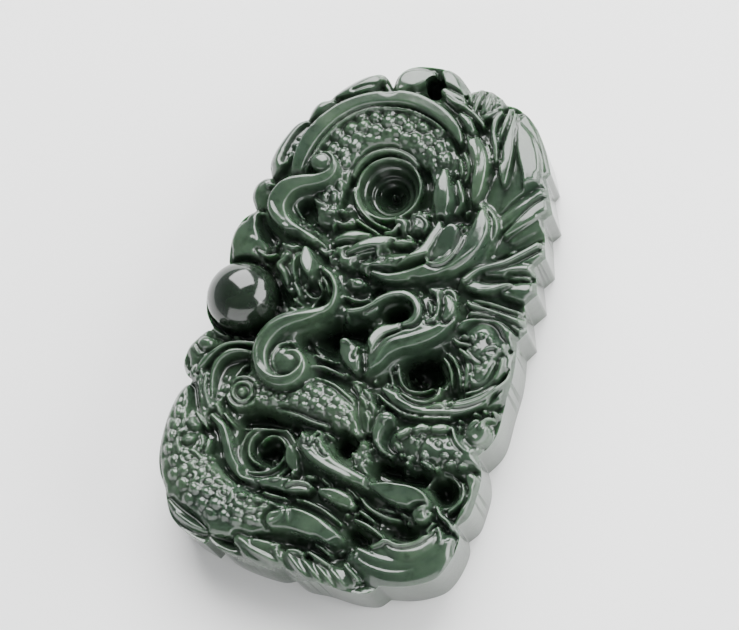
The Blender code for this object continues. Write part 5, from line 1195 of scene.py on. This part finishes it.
def jade_material():
    mat = bpy.data.materials.new("dark_green_jade")
    mat.use_nodes = True
    nt = mat.node_tree
    nt.nodes.clear()
    link = nt.links.new
    out = node(nt, "ShaderNodeOutputMaterial")
    sh = node(nt, "ShaderNodeBsdfPrincipled")
    link(sh.outputs["BSDF"], out.inputs["Surface"])
    geo = node(nt, "ShaderNodeTexCoord")
    # cloudy green, with a few paler streaks and dark specks
    cloud = node(nt, "ShaderNodeTexNoise")
    cloud.inputs["Scale"].default_value = 170
    cloud.inputs["Detail"].default_value = 5
    cloud.inputs["Roughness"].default_value = .6
    link(geo.outputs["Object"], cloud.inputs["Vector"])
    ramp = node(nt, "ShaderNodeValToRGB")
    ramp.color_ramp.elements[0].position = .34
    ramp.color_ramp.elements[0].color = (.0200, .0355, .0230, 1)
    ramp.color_ramp.elements[1].position = .70
    ramp.color_ramp.elements[1].color = (.0390, .0650, .0390, 1)
    link(cloud.outputs["Fac"], ramp.inputs["Fac"])
    specks = node(nt, "ShaderNodeTexNoise")
    specks.inputs["Scale"].default_value = 900
    specks.inputs["Detail"].default_value = 3
    link(geo.outputs["Object"], specks.inputs["Vector"])
    sramp = node(nt, "ShaderNodeValToRGB")
    sramp.color_ramp.elements[0].position = .30
    sramp.color_ramp.elements[0].color = (.45, .5, .45, 1)
    sramp.color_ramp.elements[1].position = .46
    sramp.color_ramp.elements[1].color = (1, 1, 1, 1)
    link(specks.outputs["Fac"], sramp.inputs["Fac"])
    mix = node(nt, "ShaderNodeMix", data_type="RGBA", blend_type="MULTIPLY")
    mix.inputs[0].default_value = .7
    link(ramp.outputs["Color"], mix.inputs[6])
    link(sramp.outputs["Color"], mix.inputs[7])
    # painted shade: low parts are painted darker than the raised ones, standing in for the shade in the recesses
    sep = node(nt, "ShaderNodeSeparateXYZ")
    link(geo.outputs["Object"], sep.inputs["Vector"])
    depth = node(nt, "ShaderNodeMapRange")
    depth.inputs["From Min"].default_value = .0050
    depth.inputs["From Max"].default_value = .0078
    depth.inputs["To Min"].default_value = .55
    depth.inputs["To Max"].default_value = 1.0
    link(sep.outputs["Z"], depth.inputs["Value"])
    shade = node(nt, "ShaderNodeMix", data_type="RGBA", blend_type="MULTIPLY")
    shade.inputs[0].default_value = 1.0
    link(mix.outputs[2], shade.inputs[6])
    link(depth.outputs["Result"], shade.inputs[7])
    # painted light and shade: sharp edges are painted paler, standing in for light shining through thin stone, and
    # creases are painted darker, standing in for shade
    edge = node(nt, "ShaderNodeNewGeometry")
    thin = node(nt, "ShaderNodeMapRange")
    thin.inputs["From Min"].default_value = .44
    thin.inputs["From Max"].default_value = .56
    thin.inputs["To Min"].default_value = .82
    thin.inputs["To Max"].default_value = 1.35
    link(edge.outputs["Pointiness"], thin.inputs["Value"])
    edge_light_and_crease_shade = node(nt, "ShaderNodeMix", data_type="RGBA", blend_type="MULTIPLY")
    edge_light_and_crease_shade.inputs[0].default_value = 1.0
    link(shade.outputs[2], edge_light_and_crease_shade.inputs[6])
    link(thin.outputs["Result"], edge_light_and_crease_shade.inputs[7])
    # painted shade: the pearl is painted darker than the rest of the stone
    far = node(nt, "ShaderNodeVectorMath", operation="DISTANCE")
    link(geo.outputs["Object"], far.inputs[0])
    far.inputs[1].default_value = tuple(c * MM for c in (BALL_AT[0] - CENTRE[0], BALL_AT[1] - CENTRE[1], BALL_TOP - BALL_R))
    pearl = node(nt, "ShaderNodeMapRange")
    pearl.inputs["From Min"].default_value = .0040
    pearl.inputs["From Max"].default_value = .0046
    pearl.inputs["To Min"].default_value = .30
    pearl.inputs["To Max"].default_value = 1.0
    link(far.outputs["Value"], pearl.inputs["Value"])
    whole = node(nt, "ShaderNodeMix", data_type="RGBA", blend_type="MULTIPLY")
    whole.inputs[0].default_value = 1.0
    link(edge_light_and_crease_shade.outputs[2], whole.inputs[6])
    link(pearl.outputs["Result"], whole.inputs[7])
    link(whole.outputs[2], sh.inputs["Base Color"])
    sh.inputs["IOR"].default_value = 1.62
    rough = node(nt, "ShaderNodeMapRange")
    rough.inputs["To Min"].default_value = .07
    rough.inputs["To Max"].default_value = .17
    link(cloud.outputs["Fac"], rough.inputs["Value"])
    link(rough.outputs["Result"], sh.inputs["Roughness"])
    sh.inputs["Subsurface Weight"].default_value = .40
    sh.inputs["Subsurface Radius"].default_value = (.6, 1.0, .6)
    sh.inputs["Subsurface Scale"].default_value = .0014
    # the polish is slightly wavy, as on hand-ground stone
    wave = node(nt, "ShaderNodeTexNoise")
    wave.inputs["Scale"].default_value = 620
    wave.inputs["Detail"].default_value = 2
    link(geo.outputs["Object"], wave.inputs["Vector"])
    bump = node(nt, "ShaderNodeBump")
    bump.inputs["Strength"].default_value = .16
    bump.inputs["Distance"].default_value = .00012
    link(wave.outputs["Fac"], bump.inputs["Height"])
    link(bump.outputs["Normal"], sh.inputs["Normal"])
    return mat


pendant.data.materials.append(jade_material())
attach(pendant, "root")
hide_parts("jade_pendant")


# ------------------------------------------------------------------ the setting
RIGHT = Vector((0.96637504, 0.17772459, -0.18583126))
UP = Vector((-0.11957184, 0.95039889, 0.28713154))
BACK = Vector((0.22764416, -0.25525657, 0.93969262))
AIM = Vector((1.15, 0.53, 8.0)) * MM


def seen(r, u, b):
    """A direction given as right, up and towards the viewer."""
    return (RIGHT * r + UP * u + BACK * b).normalized()


cam = bpy.data.cameras.new("camera")
cam.sensor_fit, cam.sensor_width, cam.lens = "HORIZONTAL", 36.0, 150.0
cam.clip_start, cam.clip_end = 0.01, 20.0
cam_ob = bpy.data.objects.new("camera", cam)
bpy.context.scene.collection.objects.link(cam_ob)
m = Matrix((RIGHT, UP, BACK)).transposed().to_4x4()
m.translation = AIM + BACK * 0.327
cam_ob.matrix_world = m
bpy.context.scene.camera = cam_ob


def softbox(name, where, along, size_x, size_y, radiance, dist=0.6, colour=(1, 1, 1)):
    """A rectangular soft light at a distance, facing the stone, its long side along."""
    data = bpy.data.lights.new(name, "AREA")
    data.shape = "RECTANGLE"
    data.size, data.size_y = size_x * dist, size_y * dist
    data.energy = radiance * np.pi * data.size * data.size_y
    data.color = colour
    ob = bpy.data.objects.new(name, data)
    bpy.context.scene.collection.objects.link(ob)
    z = where.normalized()
    x = (along - z * along.dot(z)).normalized()
    y = z.cross(x)
    m = Matrix((x, y, z)).transposed().to_4x4()
    m.translation = AIM + z * dist
    ob.matrix_world = m
    return ob


softbox("soft_main", seen(-.060, .924, .378), seen(.57, -.33, .91), 1.12, .95, 12.0)
softbox("soft_side", seen(.847, .372, .381), seen(.0, .9, -1.0), 1.30, .62, 9.8)
softbox("soft_low", seen(-.1, -.8, .55), RIGHT, 1.6, .8, 2.4)
softbox("soft_right_low", seen(.75, -.55, .30), UP, 1.0, .7, 5.0)

world = bpy.data.worlds.new("studio")
world.use_nodes = True
wnt = world.node_tree
wnt.nodes["Background"].inputs["Strength"].default_value = 1.0
# bright near the horizon, dim overhead, as in a room with a dark ceiling
sky = node(wnt, "ShaderNodeTexCoord")
height = node(wnt, "ShaderNodeSeparateXYZ")
wnt.links.new(sky.outputs["Generated"], height.inputs["Vector"])
fall = node(wnt, "ShaderNodeValToRGB")
fall.color_ramp.elements[0].position = .05
fall.color_ramp.elements[0].color = (.66, .68, .70, 1)
fall.color_ramp.elements[1].position = .75
fall.color_ramp.elements[1].color = (.145, .15, .155, 1)
wnt.links.new(height.outputs["Z"], fall.inputs["Fac"])
wnt.links.new(fall.outputs["Color"], wnt.nodes["Background"].inputs["Color"])
bpy.context.scene.world = world

# plain pale floor
bpy.ops.mesh.primitive_plane_add(size=6, location=(0, 0, 0))
floor = bpy.context.active_object
floor.name = "floor"
fmat = bpy.data.materials.new("pale_floor")
fmat.use_nodes = True
fnt = fmat.node_tree
fb = fnt.nodes["Principled BSDF"]
fb.inputs["Base Color"].default_value = (.96, .96, .955, 1)
fb.inputs["Roughness"].default_value = .55
floor.data.materials.append(fmat)
